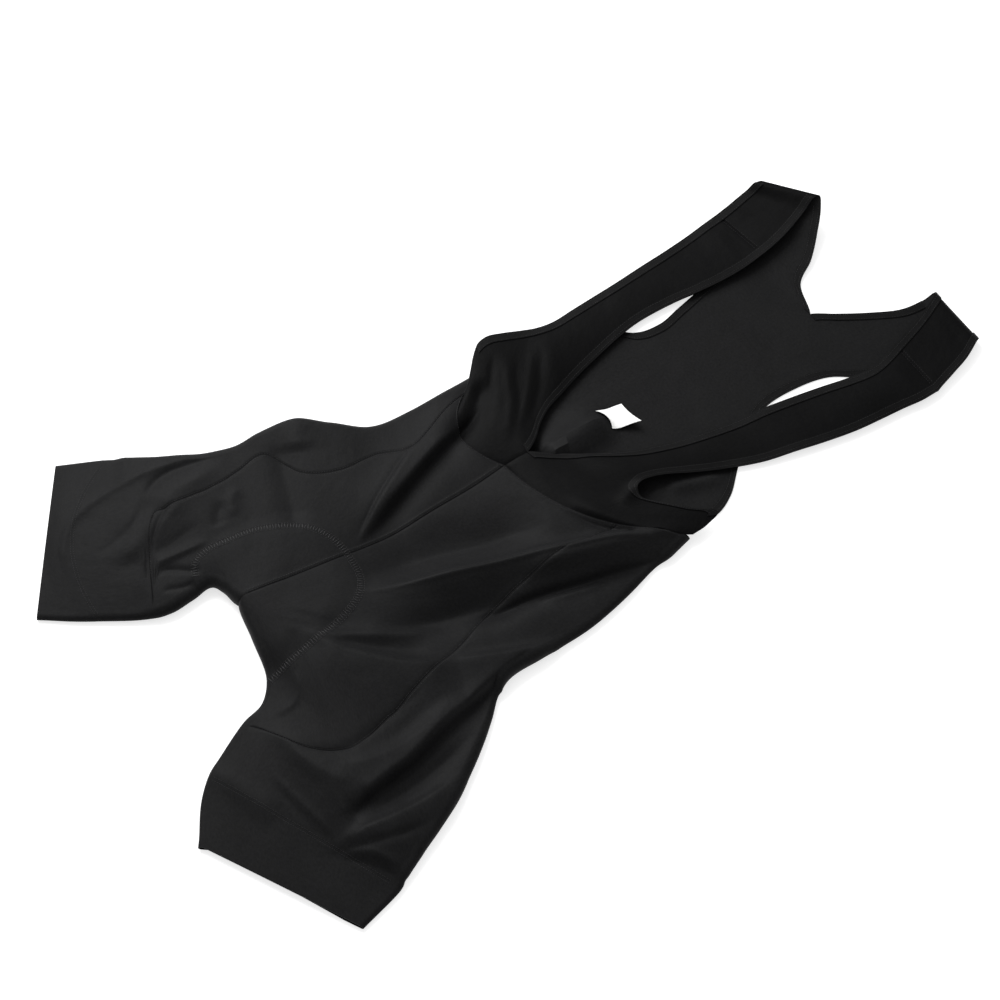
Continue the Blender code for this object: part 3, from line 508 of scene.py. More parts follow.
def cloth_shell(name, sewing, parts, material, wall=CLOTH, lift=0.0, dip=None):
    """A closed thin shell of cloth on parts of the sewn grids, drawn in from its seams by half a gap."""
    picked = [sewing.quads(*part) for part in parts]
    quads, flat = np.concatenate([p[0] for p in picked]), np.concatenate([p[1] for p in picked])
    used, quads = np.unique(quads, return_inverse=True)
    quads = quads.reshape(-1, 4)
    middle, normal = sewing.points[used].copy(), sewing.normals[used]
    edges = np.concatenate([quads[:, [k, (k + 1) % 4]] for k in range(4)])
    edges = edges[edges[:, 0] != edges[:, 1]]
    count = len(used)
    codes, back_codes = edges[:, 0] * count + edges[:, 1], edges[:, 1] * count + edges[:, 0]
    rim = edges[~np.isin(codes, back_codes)]
    across = np.cross(normal[rim[:, 0]] + normal[rim[:, 1]], middle[rim[:, 1]] - middle[rim[:, 0]])
    across /= np.maximum(np.linalg.norm(across, axis=1), 1e-9)[:, None]
    inward = np.zeros_like(middle)
    np.add.at(inward, rim[:, 0], across)
    np.add.at(inward, rim[:, 1], across)
    size = np.linalg.norm(inward, axis=1)
    on_rim = size > ON_RIM
    middle[on_rim] += inward[on_rim] * (SEAM_GAP / 2 / size[on_rim])[:, None]
    raise_by = np.full(count, lift) if dip is None else lift - dip[used]
    outer = middle + normal * (raise_by + wall / 2)[:, None]
    inner = middle + normal * (raise_by - wall / 2)[:, None]
    points = np.concatenate([outer, inner]) + FRAME_SHIFT
    points[:, 2] = np.maximum(points[:, 2], TABLE_GAP)
    ends = np.stack([rim[:, 1], rim[:, 0], rim[:, 0] + count, rim[:, 1] + count], axis=1)
    faces = np.concatenate([quads, quads[:, ::-1] + count, ends])
    uv = np.concatenate([flat, flat[:, ::-1], np.zeros((len(ends), 4, 2))])
    return plain_mesh(name, points * MM, faces, uv * MM, material)


def plain_mesh(name, points, faces, uv, material):
    """A mesh object from quads. Those that have a corner twice come last, as triangles."""
    same = faces == np.roll(faces, 1, axis=1)
    rows, corners, coordinates = [], [], []
    for whole in (True, False):
        chosen = same.any(axis=1) != whole
        for face, where, repeated in zip(faces[chosen], uv[chosen], same[chosen]):
            keep = np.full(4, True) if whole else ~repeated
            if len(set(face[keep].tolist())) > 2:
                rows.append(face[keep].tolist())
                coordinates.append(where[keep])
    mesh = bpy.data.meshes.new(name)
    mesh.from_pydata(points.tolist(), [], rows)
    layer = mesh.uv_layers.new(name="cloth")
    layer.data.foreach_set("uv", np.concatenate(coordinates).astype(np.float32).ravel())
    mesh.shade_smooth()
    mesh.validate()
    mesh.set_sharp_from_angle(angle=SHARP_ANGLE)
    mesh.materials.append(material)
    return in_scene(name, mesh)


class Socket:
    """One output of a material's node tree, so that its sums are written as sums."""

    def __init__(self, tree, output):
        self.tree, self.output = tree, output

    def node(self, kind, out=0, settings=None, **inputs):
        """Any other node, fed by name with sockets or values. Spaces in a name are underscores."""
        made = self.tree.nodes.new(kind)
        for key, value in (settings or {}).items():
            setattr(made, key, value)
        for key, value in inputs.items():
            self.feed(made.inputs[int(key[1:]) if key[0] == "_" else key.replace("_", " ")], value)
        return Socket(self.tree, made.outputs[out])

    def feed(self, where, value):
        if isinstance(value, Socket):
            self.tree.links.new(value.output, where)
        else:
            where.default_value = value

    def output_named(self, name):
        """Another output of the same node."""
        return Socket(self.tree, self.output.node.outputs[name])

    def maths(self, operation, a, b=0.0):
        return self.node("ShaderNodeMath", settings=dict(operation=operation), _0=a, _1=b)

    def __add__(self, other):
        return self.maths("ADD", self, other)

    def __sub__(self, other):
        return self.maths("SUBTRACT", self, other)

    def __mul__(self, other):
        return self.maths("MULTIPLY", self, other)

    def __truediv__(self, other):
        return self.maths("DIVIDE", self, other)

    def __radd__(self, other):
        return self.maths("ADD", other, self)

    def __rsub__(self, other):
        return self.maths("SUBTRACT", other, self)

    def __rmul__(self, other):
        return self.maths("MULTIPLY", other, self)

    def __rtruediv__(self, other):
        return self.maths("DIVIDE", other, self)


SLACK, LOOP_RELIEF = 0.0016, 0.00012  # in metres, how uneven the cloth is between its folds, and its loops
LOOP_LENGTH, LOOP_LEAN = 1.25, 0.9  # a loop's length in wales, and how far the loops lean to either side
FUZZ_TONE, GRAIN_TONE, LOOP_TONE = 1.2, 1.8, 0.2  # how much each lightens and darkens the yarn
LOOP_HEIGHT, FUZZ_HEIGHT, GRAIN_HEIGHT = 0.7, 0.6, 0.8  # and how much each raises it


def knit(name, dark, light, rough, wale, bump, sheen, patchy=0.35, shine=0.055):
    """Fine warp knit: wales of loops along the cloth's length, a little shine, and slow patches."""
    material = principled(name, Specular_IOR_Level=shine, Sheen_Weight=sheen, Sheen_Roughness=0.45,
                          Sheen_Tint=(0.5, 0.5, 0.52, 1.0))
    tree = material.node_tree
    shader = tree.nodes["Principled BSDF"]
    flat = Socket(tree, tree.nodes.new("ShaderNodeUVMap").outputs["UV"])
    u = flat.node("ShaderNodeSeparateXYZ", _0=flat)
    v = u.output_named("Y")
    turn = 2 * math.pi / wale
    lean = flat.maths("SINE", v * (turn / LOOP_LENGTH)) * LOOP_LEAN
    loops = flat.maths("SINE", u * turn + lean) * 0.5 + 0.5
    tone = flat.node("ShaderNodeTexNoise", Vector=flat, Scale=22.0, Detail=3.0, Roughness=0.55)
    fuzz = flat.node("ShaderNodeTexNoise", Vector=flat, Scale=900.0, Detail=2.0, Roughness=0.6)
    grain = flat.node("ShaderNodeTexNoise", Vector=flat, Scale=380.0, Detail=3.0, Roughness=0.65)
    slack = flat.node("ShaderNodeTexNoise", Vector=flat, Scale=34.0, Detail=4.0, Roughness=0.56)
    amount = (tone - 0.5) * (3 * patchy) + (fuzz - 0.5) * FUZZ_TONE + (grain - 0.5) * GRAIN_TONE
    amount = amount + (loops - 0.5) * LOOP_TONE + 0.5
    colour = flat.node("ShaderNodeMix", 2, dict(data_type="RGBA"), _0=amount, _6=(*dark, 1.0),
                       _7=(*light, 1.0))
    height = loops * LOOP_HEIGHT + fuzz * FUZZ_HEIGHT + grain * GRAIN_HEIGHT
    uneven = flat.node("ShaderNodeBump", Strength=0.6, Distance=SLACK, Height=slack)
    raised = flat.node("ShaderNodeBump", Strength=bump, Distance=LOOP_RELIEF, Height=height, Normal=uneven)
    flat.feed(shader.inputs["Base Color"], colour)
    flat.feed(shader.inputs["Roughness"], rough + (fuzz - 0.5) * 0.10)
    flat.feed(shader.inputs["Normal"], raised)
    return material


def distance_across(points):
    """How far along each row of a grid its points are, in millimetres."""
    steps = np.linalg.norm(np.diff(points, axis=1), axis=2)
    return np.concatenate([np.zeros((len(points), 1)), np.cumsum(steps, axis=1)], axis=1)


body_knit = knit("body_knit", (0.0040, 0.0040, 0.0042), (0.0088, 0.0088, 0.0092), rough=0.54, wale=0.0007,
                 bump=0.35, sheen=0.05)
shorts_cloth = Sewing()
legs = {}
for side, rows in (("left", LEFT_SECTIONS), ("right", RIGHT_SECTIONS)):
    leg = legs[side] = lay_leg(side, rows)
    flip = side == "right"
    across = distance_across(leg["top"])
    along = leg["along"][:, None]
    crotch = leg["crotch_row"]
    leg["top_grid"] = shorts_cloth.add(leg["top"], flip, across, along)
    leg["outer_grid"] = shorts_cloth.add(
        leg["outer_roll"], flip, across[:, -1:] + distance_across(leg["outer_roll"]), along)
    leg["inner_grid"] = shorts_cloth.add(
        leg["inner_roll"], not flip, -distance_across(leg["inner_roll"]), along[crotch:])
    leg["under_grid"] = shorts_cloth.add(leg["under"], flip, distance_across(leg["under"]), along)
shorts_cloth.settle()


def seam_dip(away):
    return SEAM_DIP * np.exp(-((away / SEAM_DIP_WIDTH) ** 2))


def seam_ridge(away, ridge):
    """The seam's allowances, which are turned to one side and stand up a little there."""
    place, rise = ridge
    return rise * np.exp(-(((away - place) / RIDGE_WIDTH) ** 2))


dips = np.zeros(len(shorts_cloth.points))
for side, leg in legs.items():
    along = leg["along"][:, None]
    across = distance_across(leg["top"])
    seam_across = across[:, leg["seam_column"]][:, None]
    away = np.minimum(np.abs(across - seam_across),
                      np.where(along <= CROTCH, CENTRE_DIP[0] * across + CENTRE_DIP[1], FAR))
    away = np.where(along < leg["along"][leg["tip_row"]], away, FAR)
    dip = seam_dip(np.minimum(away, along)) - seam_ridge(along, WAIST_RIDGE)
    if side == "right":
        dip = dip - seam_ridge(np.where(along <= CROTCH, across, FAR), CENTRE_RIDGE)
    dips[shorts_cloth.ids[leg["top_grid"]]] = dip


def dress(piece, node):
    """The garment is one body. A piece rides on it and stands for its solid."""
    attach(piece, "root")
    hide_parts(node)


fronts = {}
for side, leg in legs.items():
    tip, seam, crotch = leg["tip_row"], leg["seam_column"], leg["crotch_row"]
    name = f"front_{side}"
    fronts[side] = cloth_shell(f"{name}_cloth", shorts_cloth, [
        (leg["top_grid"], slice(0, tip + 1), slice(0, seam + 1)),
        (leg["inner_grid"], slice(0, tip - crotch + 1)),
    ], body_knit, dip=dips)
    dress(fronts[side], name)

# ==================================================================== side panels
# One panel a side of the same knit, from the front panel's seam round the outside of the thigh, and
# below the front panel's tip round the inside as well. Its edge runs on under the leg to the back.
sides = {}
for side, leg in legs.items():
    tip, band, seam, crotch = leg["tip_row"], leg["band_row"], leg["seam_column"], leg["crotch_row"]
    name = f"side_{side}"
    sides[side] = cloth_shell(f"{name}_cloth", shorts_cloth, [
        (leg["top_grid"], slice(0, band + 1), slice(seam, None)),
        (leg["outer_grid"], slice(0, band + 1)),
        (leg["inner_grid"], slice(tip - crotch, band - crotch + 1)),
    ], body_knit, dip=dips)
    dress(sides[side], name)

# ==================================================================== back panels
# One panel a side of the same knit, flat on the table under the fronts, from the back waist to the
# leg band, sewn to its neighbour down the centre back.
for side, leg in legs.items():
    name = f"back_{side}"
    back = cloth_shell(f"{name}_cloth", shorts_cloth, [
        (leg["under_grid"], slice(0, leg["band_row"] + 1)),
    ], body_knit)
    dress(back, name)

# ==================================================================== leg bands
# A firm elastic band of denser, duller knit round each leg, cut double and sewn on at its top edge.
band_knit = knit("band_knit", (0.0044, 0.0044, 0.0046), (0.0094, 0.0094, 0.0098), rough=0.56, wale=0.0011,
                 bump=0.45, sheen=0.05)
BAND_WALL = 1.2
for side, leg in legs.items():
    band, seam, crotch = leg["band_row"], leg["seam_column"], leg["crotch_row"]
    name = f"hem_band_{side}"
    band_piece = cloth_shell(f"{name}_cloth", shorts_cloth, [
        (leg["top_grid"], slice(band, None), slice(seam, None)),
        (leg["outer_grid"], slice(band, None)),
        (leg["inner_grid"], slice(band - crotch, None)),
        (leg["under_grid"], slice(band, None)),
    ], band_knit, wall=BAND_WALL, dip=dips)
    dress(band_piece, name)

# ==================================================================== bib fronts and bib back
# Two bib fronts meet in a short seam under the V of the neck, and narrow into straps. The bib back is
# one piece below the neck, and its two straps come up over the shoulders to the fronts.
BIB_ROW_STEP, BIB_COLUMNS_ACROSS = 2.8, 44
HEM_WIDTH, HEM_SHARE = 9.0, 0.3  # the second at most, as a share of the bib's width
HEM_LINES = [0.0, 0.1, 0.3, 0.6, 0.88, 1.0]  # columns across a turned hem, as shares of it
SEAM_EASE, SHOULDER_EASE = 14.0, 20.0  # over what length a panel meets its seam, and straightens at its end
BIB_COLUMNS = "along in_x in_y out_x out_y bow in_h mid_h out_h".split()
LEFT_BIB = [
    (0, 0, 294, 156, 405, -23, 14, 20, 10),
    (5, 0, 297, 161.5, 411.5, -16, 15, 20, 10),
    (12, 0, 302, 151.5, 442, -28, 16, 20, 10),
    (24, 0, 310, 135, 425, -22, 17, 19, 14),
    (36, 0, 319, 119, 406, -16, 17, 18, 15),
    (52, 8, 333, 102, 389, -10, 15, 17, 15),
    (68, 17, 348, 90, 389, -5, 13, 15, 14),
    (86, 27, 365, 84, 399, 0, 12, 16, 14),
    (104, 38, 386, 84, 411, 0, 11, 14, 12),
    (124, 48, 411, 88, 425, 0, 9, 11, 10),
    (150, 57, 446, 98, 450, 0, 6, 8, 6),
    (180, 63, 475, 109, 478, 0, 5, 7, 4),
    (215, 69, 515, 122, 516, 0, 5, 6, 4),
    (248, 72, 547, 129, 549, 0, 7, 8, 6),
    (280, 76, 579, 135, 580, 0, 7, 8, 6),
    (313, 81, 611, 140, 613, 0, 7, 9, 6),
    (345, 87, 642, 142, 645, 0, 8, 10, 6),
    (365, 89, 661, 143, 668, 0, 8, 10, 6),
    (385, 86, 680, 145, 689, 0, 8, 10, 7),
    (405, 78, 703, 144, 709, 0, 9, 10, 7),
]
RIGHT_BIB = [
    (0, 0, 294, -108, 318, -30, 14, 16, 12),
    (14, 0, 307, -119, 328, -16, 16, 19, 18),
    (28, 0, 319, -130, 339, -4, 17, 19, 20),
    (45, -11, 335, -134, 353, 0, 13, 18, 20),
    (62, -24, 348, -131, 368, 0, 10, 16, 18),
    (82, -37, 366, -126, 387, 0, 7.5, 14, 14),
    (102, -46, 387, -122, 403, 0, 5.5, 15, 11),
    (125, -55, 410, -121, 422, 0, 5, 12, 8),
    (155, -65, 441, -124, 448, 0, 4.5, 9, 7),
    (183, -73, 469, -127, 474, 0, 4.5, 8, 6),
    (207, -78, 493, -129, 496, 0, 5, 8, 6),
    (250, -80, 540, -134, 538, 0, 5, 7, 6),
    (280, -78, 569, -137, 566, 0, 5.5, 7, 6),
    (310, -77, 600, -141, 596, 0, 6, 8, 6),
    (340, -78, 631, -145, 623, 0, 9, 10, 8),
    (355, -80.5, 650.5, -146.5, 637, 0, 11, 11, 10),
]
# One row for each section of the bib back, from the back waist up over the shoulder fold to the
# shoulder seam in front. The last two columns are the heights of its two edges.
BIB_BACK_COLUMNS = "along in_x in_y out_x out_y in_h out_h".split()
LEFT_BACK = [
    (0, 0, 418, 141, 409, 0, 0),
    (24, 0, 442, 147, 442, 0, 0),
    (48, 0, 466, 136, 468, 0, 0),
    (72, 0, 490, 114, 491, 0, 0),
    (98, 0, 516, 89, 518, 0, 0),
    (128, 0, 546, 71, 547, 0, 0),
    (172, 0, 590, 66, 594, 0, 0),
    (206, 0, 624, 72, 628, 0, 0),
    (236, 0, 654, 88, 655, 0, 0),
    (256, 13, 676, 97, 676, 0, 0),
    (284, 29, 705, 105, 705, 0, 0),
    (314, 43, 737, 110, 737, 0, 0),
    (340, 45, 764, 112, 764, 1, 1),
    (353, 45, 774, 114, 779, 5, 5),
    (362, 49, 772, 117, 775, 10, 9),
    (378, 57, 758, 127, 757, 11, 9),
    (400, 66, 738, 135, 735, 10, 8),
    (422, 73, 718, 141, 717, 9, 7),
    (438, 78, 703, 144, 709, 9, 7),
]
RIGHT_BACK = [
    (0, 0, 418, -93, 322, 0, 0),
    (24, 0, 442, -108, 420, 0, 0),
    (48, 0, 466, -96, 462, 0, 0),
    (72, 0, 490, -73, 488, 0, 0),
    (98, 0, 516, -68, 515, 0, 0),
    (128, 0, 546, -75, 545, 0, 0),
    (172, 0, 590, -86, 590, 0, 0),
    (206, 0, 624, -88, 618, 0, 0),
    (236, 0, 654, -99, 634, 0, 0),
    (256, -32, 664, -108, 645, 1, 1),
    (284, -52, 690, -121, 659, 6, 4),
    (314, -73, 711, -134, 676, 14, 12),
    (336, -92, 727.2, -145, 690.2, 22, 18),
    (346, -101, 731.8, -149.5, 693.5, 28, 24),
    (356, -102.5, 725, -151.5, 685.5, 29, 25),
    (372, -97, 710, -151, 675, 22, 19),
    (392, -88.5, 687.5, -148.5, 659, 18, 16),
    (412, -83.7, 668.6, -147.5, 647, 13.5, 12),
    (430, -80.5, 650.5, -146.5, 637, 11, 10),
]
BACK_WAIST_Y = 418
# How far along the bib back its neck and armholes begin, the fold tops the shoulder, and the inside hems end.
BACK_NECK, BACK_ARMHOLE, FOLD_TOP, BACK_HEM_END = 236, 24, 356, 335
BACK_STOPS, BACK_ROWS = [0, BACK_NECK, 330, 390], [80, 36, 40, 20]  # how many rows run on from each stop
# How far along the bib fronts the V of the neck and the armholes begin.
V_POINT, ARMHOLE_START = dict(left=36, right=28), dict(left=12, right=28)
BACK_KNIT_SHIFT = 900.0  # so that the back's knit doesn't repeat the fronts'


def bib_shares(width):
    """Shares across the bib, one row for each width, with columns on both turned hems."""
    hem = np.minimum(HEM_WIDTH / width, HEM_SHARE)[:, None] * np.array(HEM_LINES)
    t = np.linspace(0, 1, BIB_COLUMNS_ACROSS - 2 * len(HEM_LINES) + 2)[1:-1]
    middle = hem[:, -1:] + t * (1 - 2 * hem[:, -1:])
    return np.concatenate([hem, middle, 1 - hem[:, ::-1]], axis=1)


def lay_bib_front(side, rows, waist):
    """A bib front from the waist seam to the shoulder seam."""
    table = columns_of(BIB_COLUMNS, rows)
    last = table["along"][-1]
    at_seam, before_seam = np.array(SEAM_LINES), last - np.array(SEAM_LINES)
    between = np.linspace(at_seam[-1], before_seam[-1], round(last / BIB_ROW_STEP))
    along = np.unique([*at_seam, *between, *before_seam, V_POINT[side], ARMHOLE_START[side]])
    column = read_table(table, along)
    column["in_x"][along <= V_POINT[side]] = 0.0
    start, end = ends_of(column)
    share = bib_shares(np.hypot(*(end - start).T))
    plan = lay_sections(share, start, end, column["bow"])
    waist_at = distance_across(waist[None])[0]
    sewn = np.stack([np.interp(share[0] * waist_at[-1], waist_at, waist[:, k]) for k in range(3)], axis=1)
    let_go = (1 - ease(along / SEAM_EASE))[:, None, None]
    plan = plan + let_go * (sewn[:, :2] - plan[0])[None]
    z = top_height(plan[..., 0], plan[..., 1], crown(share, column))
    z = z + let_go[..., 0] * (sewn[:, 2] - z[0])[None]
    points = with_height(plan, z)
    straight = ease((along - last + SHOULDER_EASE) / SHOULDER_EASE)[:, None, None]
    line = points[:, :1] + share[..., None] * (points[:, -1:] - points[:, :1])
    points = points * (1 - straight) + line * straight
    return points, along


def lay_bib_back(rows, waist_end, shoulder):
    """Half of the bib back with its strap, over the shoulder to the shoulder seam in front."""
    table = columns_of(BIB_BACK_COLUMNS, rows)
    last = table["along"][-1]
    runs = [np.linspace(*run) for run in zip(BACK_STOPS, [*BACK_STOPS[1:], last], BACK_ROWS)]
    along = np.unique(np.concatenate([*runs, [BACK_ARMHOLE, BACK_HEM_END, FOLD_TOP]]))
    column = read_table(table, along)
    start, end = ends_of(column)
    below = along <= BACK_NECK
    start[below] = np.stack([np.zeros(below.sum()), BACK_WAIST_Y + along[below]], axis=1)
    end[0] = waist_end
    share = bib_shares(np.hypot(*(end - start).T))
    share[-1] = bib_shares(np.array([np.hypot(*(shoulder[-1] - shoulder[0])[:2])]))[0]
    plan = start[:, None] + share[..., None] * (end - start)[:, None]
    lift = column["in_h"][:, None] * (1 - share) + column["out_h"][:, None] * share
    z = np.maximum(lift, 0) + back_height(plan[..., 0], plan[..., 1])
    points = with_height(plan, z)
    to_seam = ease((along - last + SEAM_EASE) / SEAM_EASE)[:, None, None]
    return points + to_seam * (shoulder - points[-1])[None], along


bib_knit = knit("bib_knit", (0.0014, 0.0014, 0.0015), (0.0034, 0.0034, 0.0036), rough=0.54, wale=0.0008,
                bump=0.35, sheen=0.02, shine=0.04)
back_knit = knit("back_knit", (0.0036, 0.0036, 0.0038), (0.0088, 0.0088, 0.0091), rough=0.60, wale=0.0012,
                 bump=0.60, sheen=0.05, patchy=0.2)
bib_cloth = Sewing()
bib = {}
for side, rows, back_rows in (("left", LEFT_BIB, LEFT_BACK), ("right", RIGHT_BIB, RIGHT_BACK)):
    leg = legs[side]
    front, front_along = lay_bib_front(side, rows, leg["top"][0])
    back, back_along = lay_bib_back(back_rows, leg["under"][0, 0, :2], front[-1])
    flip = side == "right"
    bib[side] = dict(
        front=front, front_along=front_along, back_along=back_along,
        front_grid=bib_cloth.add(front, not flip, distance_across(front), front_along[:, None]),
        back_grid=bib_cloth.add(back, flip, distance_across(back), back_along[:, None] + BACK_KNIT_SHIFT))
bib_cloth.settle()
bib_dips = np.zeros(len(bib_cloth.points))
for side, half in bib.items():
    along = half["front_along"][:, None]
    across = distance_across(half["front"])
    away = np.minimum(along, along[-1] - along)
    away = np.minimum(away, np.where(along <= V_POINT[side], across, FAR))
    bib_dips[bib_cloth.ids[half["front_grid"]]] = seam_dip(away)
for side, half in bib.items():
    name = f"bib_front_{side}"
    half["cloth"] = cloth_shell(f"{name}_cloth", bib_cloth, [(half["front_grid"],)], bib_knit, dip=bib_dips)
    dress(half["cloth"], name)
bib_back_cloth = cloth_shell("bib_back_cloth", bib_cloth,
                             [(half["back_grid"],) for half in bib.values()], back_knit, dip=bib_dips)
bib_back_cloth.data.materials.append(bib_knit)  # its right side, which shows over the shoulders
for face in bib_back_cloth.data.polygons:
    if max(face.vertices) < len(bib_back_cloth.data.vertices) // 2:
        face.material_index = 1
dress(bib_back_cloth, "bib_back")

# ==================================================================== turned hems
# The bib's edges are turned under once and cover-stitched, so a second ply shows as a flat ridge:
# outside on the neck and armholes in front, inside round the back neck and back armholes.
hem_knit = knit("hem_knit", (0.0022, 0.0022, 0.0023), (0.0052, 0.0052, 0.0054), rough=0.54, wale=0.0008,
                bump=0.35, sheen=0.045)
HEM_WALL, HEM_GAP = 0.8, 0.1
HEM_PLY = CLOTH / 2 + HEM_GAP + HEM_WALL / 2  # from the middle of the bib's cloth to the middle of the hem
HEM_EDGES = dict(neck=slice(0, len(HEM_LINES)), arm=slice(-len(HEM_LINES), None))  # their columns
hems = {}
for side, half in bib.items():
    front_along, back_along = half["front_along"], half["back_along"]
    half["front_rows"] = dict(neck=row_at(front_along, V_POINT[side]),
                              arm=row_at(front_along, ARMHOLE_START[side]))
    half["back_rows"] = dict(neck=row_at(back_along, BACK_NECK), arm=row_at(back_along, BACK_ARMHOLE))
    half["over"], half["hem_end"] = row_at(back_along, FOLD_TOP), row_at(back_along, BACK_HEM_END)
    for edge, node in (("neck", "neck_hem"), ("arm", "armhole_hem")):
        hems[f"{node}_{side}"] = cloth_shell(f"{node}_{side}_cloth", bib_cloth, [
            (half["front_grid"], slice(half["front_rows"][edge], None), HEM_EDGES[edge]),
            (half["back_grid"], slice(half["over"], None), HEM_EDGES[edge]),
        ], hem_knit, wall=HEM_WALL, lift=HEM_PLY)
        hems[f"back_{edge}_hem_{side}"] = cloth_shell(f"back_{edge}_hem_{side}_cloth", bib_cloth, [
            (half["back_grid"], slice(half["back_rows"][edge], half["hem_end"] + 1), HEM_EDGES[edge]),
        ], hem_knit, wall=HEM_WALL, lift=-HEM_PLY)
for node, piece in hems.items():
    dress(piece, node)

# ==================================================================== seat pad
# A shaped foam pad faced with brushed knit, sewn inside the crotch through the front panels. It lies
# under them and gives the crotch its raised shape.
PAD_THICKNESS, PAD_RIM, PAD_GAP = 5.0, 1.6, 0.6  # in its middle, at its edge, and the room above it
PAD_CROTCH_Y, PAD_FRONT_Y = 18.0, PAD_OUTLINE["y"] + 0.92 * PAD_OUTLINE["half_length"]
PAD_ROWS, PAD_COLUMNS = 30, 41
PAD_MARGIN, PAD_CLEARANCE = 5, 1.0  # how far inside its outline it ends, and the least room under it
PAD_PROBES = (-7, 0, 7)  # the cloth's height is the least of those round a spot
CHANNEL_AWAY, CHANNEL_WIDTH, CHANNEL_DEPTH = 12, 3.0, 1.4  # a channel runs down each side of the middle
pad_face = knit("pad_face", (0.0090, 0.0090, 0.0094), (0.0170, 0.0170, 0.0177), rough=0.75, wale=0.0015,
                bump=0.6, sheen=0.10)


def highest_face(trees, x, y):
    """Height and normal of the highest face of these pieces at (x, y), or None where they have none."""
    above = Vector((x + FRAME_SHIFT[0], y + FRAME_SHIFT[1], 100)) * MM
    hits = [tree.ray_cast(above, Vector((0, 0, -1))) for tree in trees]
    hits = [hit for hit in hits if hit[0] is not None]
    if not hits:
        return None
    spot, normal = max(hits, key=lambda hit: hit[0].z)[:2]
    return spot.z / MM, tuple(normal)


graph = bpy.context.evaluated_depsgraph_get()
front_trees = [BVHTree.FromObject(piece, graph) for piece in fronts.values()]
outline = PAD_OUTLINE
pad_top, pad_under = [], []
for y in np.linspace(PAD_CROTCH_Y, PAD_FRONT_Y, PAD_ROWS):
    reach = 1 - abs((y - outline["y"]) / outline["half_length"]) ** outline["power"]
    half_width = (outline["half_width"] - PAD_MARGIN) * reach ** (1 / outline["power"])
    end_share = (y - PAD_CROTCH_Y) / (PAD_FRONT_Y - PAD_CROTCH_Y)
    for share in np.linspace(-1, 1, PAD_COLUMNS):
        x = outline["x"] + half_width * share
        roofs = [highest_face(front_trees, x + dx, y + dy) for dx in PAD_PROBES for dy in PAD_PROBES]
        roof = min(face[0] for face in roofs if face)
        full = (1 - abs(share) ** 4) * (1 - abs(2 * end_share - 1) ** 6)
        channel = math.exp(-((abs(x - outline["x"]) - CHANNEL_AWAY) / CHANNEL_WIDTH) ** 2)
        thick = PAD_RIM + (PAD_THICKNESS - PAD_RIM) * full - CHANNEL_DEPTH * full * channel
        pad_top.append((x, y, roof - CLOTH - PAD_GAP))
        pad_under.append((x, y, roof - CLOTH - PAD_GAP - thick))
pad_ids = np.arange(PAD_ROWS * PAD_COLUMNS).reshape(PAD_ROWS, PAD_COLUMNS)
corners = [pad_ids[:-1, :-1], pad_ids[:-1, 1:], pad_ids[1:, 1:], pad_ids[1:, :-1]]
pad_quads = np.stack(corners, axis=-1).reshape(-1, 4)
ring = np.concatenate([pad_ids[0], pad_ids[1:, -1], pad_ids[-1, -2::-1], pad_ids[-2:0:-1, 0]])
next_ring = np.roll(ring, -1)
ring_quads = np.stack([ring, ring + pad_ids.size, next_ring + pad_ids.size, next_ring], axis=1)
pad_points = np.array(pad_top + pad_under)
pad_points[:, 2] = np.maximum(pad_points[:, 2], FLOOR_PLY + CLOTH + PAD_CLEARANCE)
pad_faces = np.concatenate([pad_quads, pad_quads[:, ::-1] + pad_ids.size, ring_quads])
seat_pad = plain_mesh("seat_pad_foam", (pad_points + FRAME_SHIFT) * MM, pad_faces,
                      pad_points[:, :2][pad_faces] * MM, pad_face)
dress(seat_pad, "seat_pad")

# ==================================================================== care label
# A blank white woven tape, caught in the seam at the back waist, its free end curling.
LABEL_CORNERS = [(-11, 405), (14, 409), (-6, 432), (23, 437)]  # the sewn edge's ends, then the free edge's
LABEL_WIDTH, LABEL_LENGTH, LABEL_WALL = 26.0, 27.0, 0.4
LABEL_LIFT, LABEL_ARCH, LABEL_GAP = 7.0, 4.0, 1.0
label_tape = knit("label_tape", (0.78, 0.78, 0.77), (0.90, 0.90, 0.89), rough=0.55, wale=0.0005,
                  bump=0.3, sheen=0.0)
label_cloth = Sewing()
u, v = np.meshgrid(np.linspace(0, 1, 27), np.linspace(0, 1, 21))
low_left, low_right, far_left, far_right = np.array(LABEL_CORNERS, float)
spot = ((1 - v)[..., None] * ((1 - u)[..., None] * low_left + u[..., None] * low_right)
        + v[..., None] * ((1 - u)[..., None] * far_left + u[..., None] * far_right))
label_x, label_y = spot[..., 0], spot[..., 1] + LABEL_ARCH * 4 * u * (1 - u) * (1 - 1.4 * v)
curl = LABEL_LIFT * (ease(v) * (0.35 + 0.65 * u) + 0.3 * (1 - v) * 4 * u * (1 - u))
label_z = back_height(label_x, label_y) + CLOTH + LABEL_GAP + curl
label_points = np.stack([label_x, label_y, label_z], axis=-1)
label_grid = label_cloth.add(label_points, True, u * LABEL_WIDTH, v * LABEL_LENGTH)
label_cloth.settle()
care_label = cloth_shell("care_label_tape", label_cloth, [(label_grid,)], label_tape, wall=LABEL_WALL)
dress(care_label, "care_label")

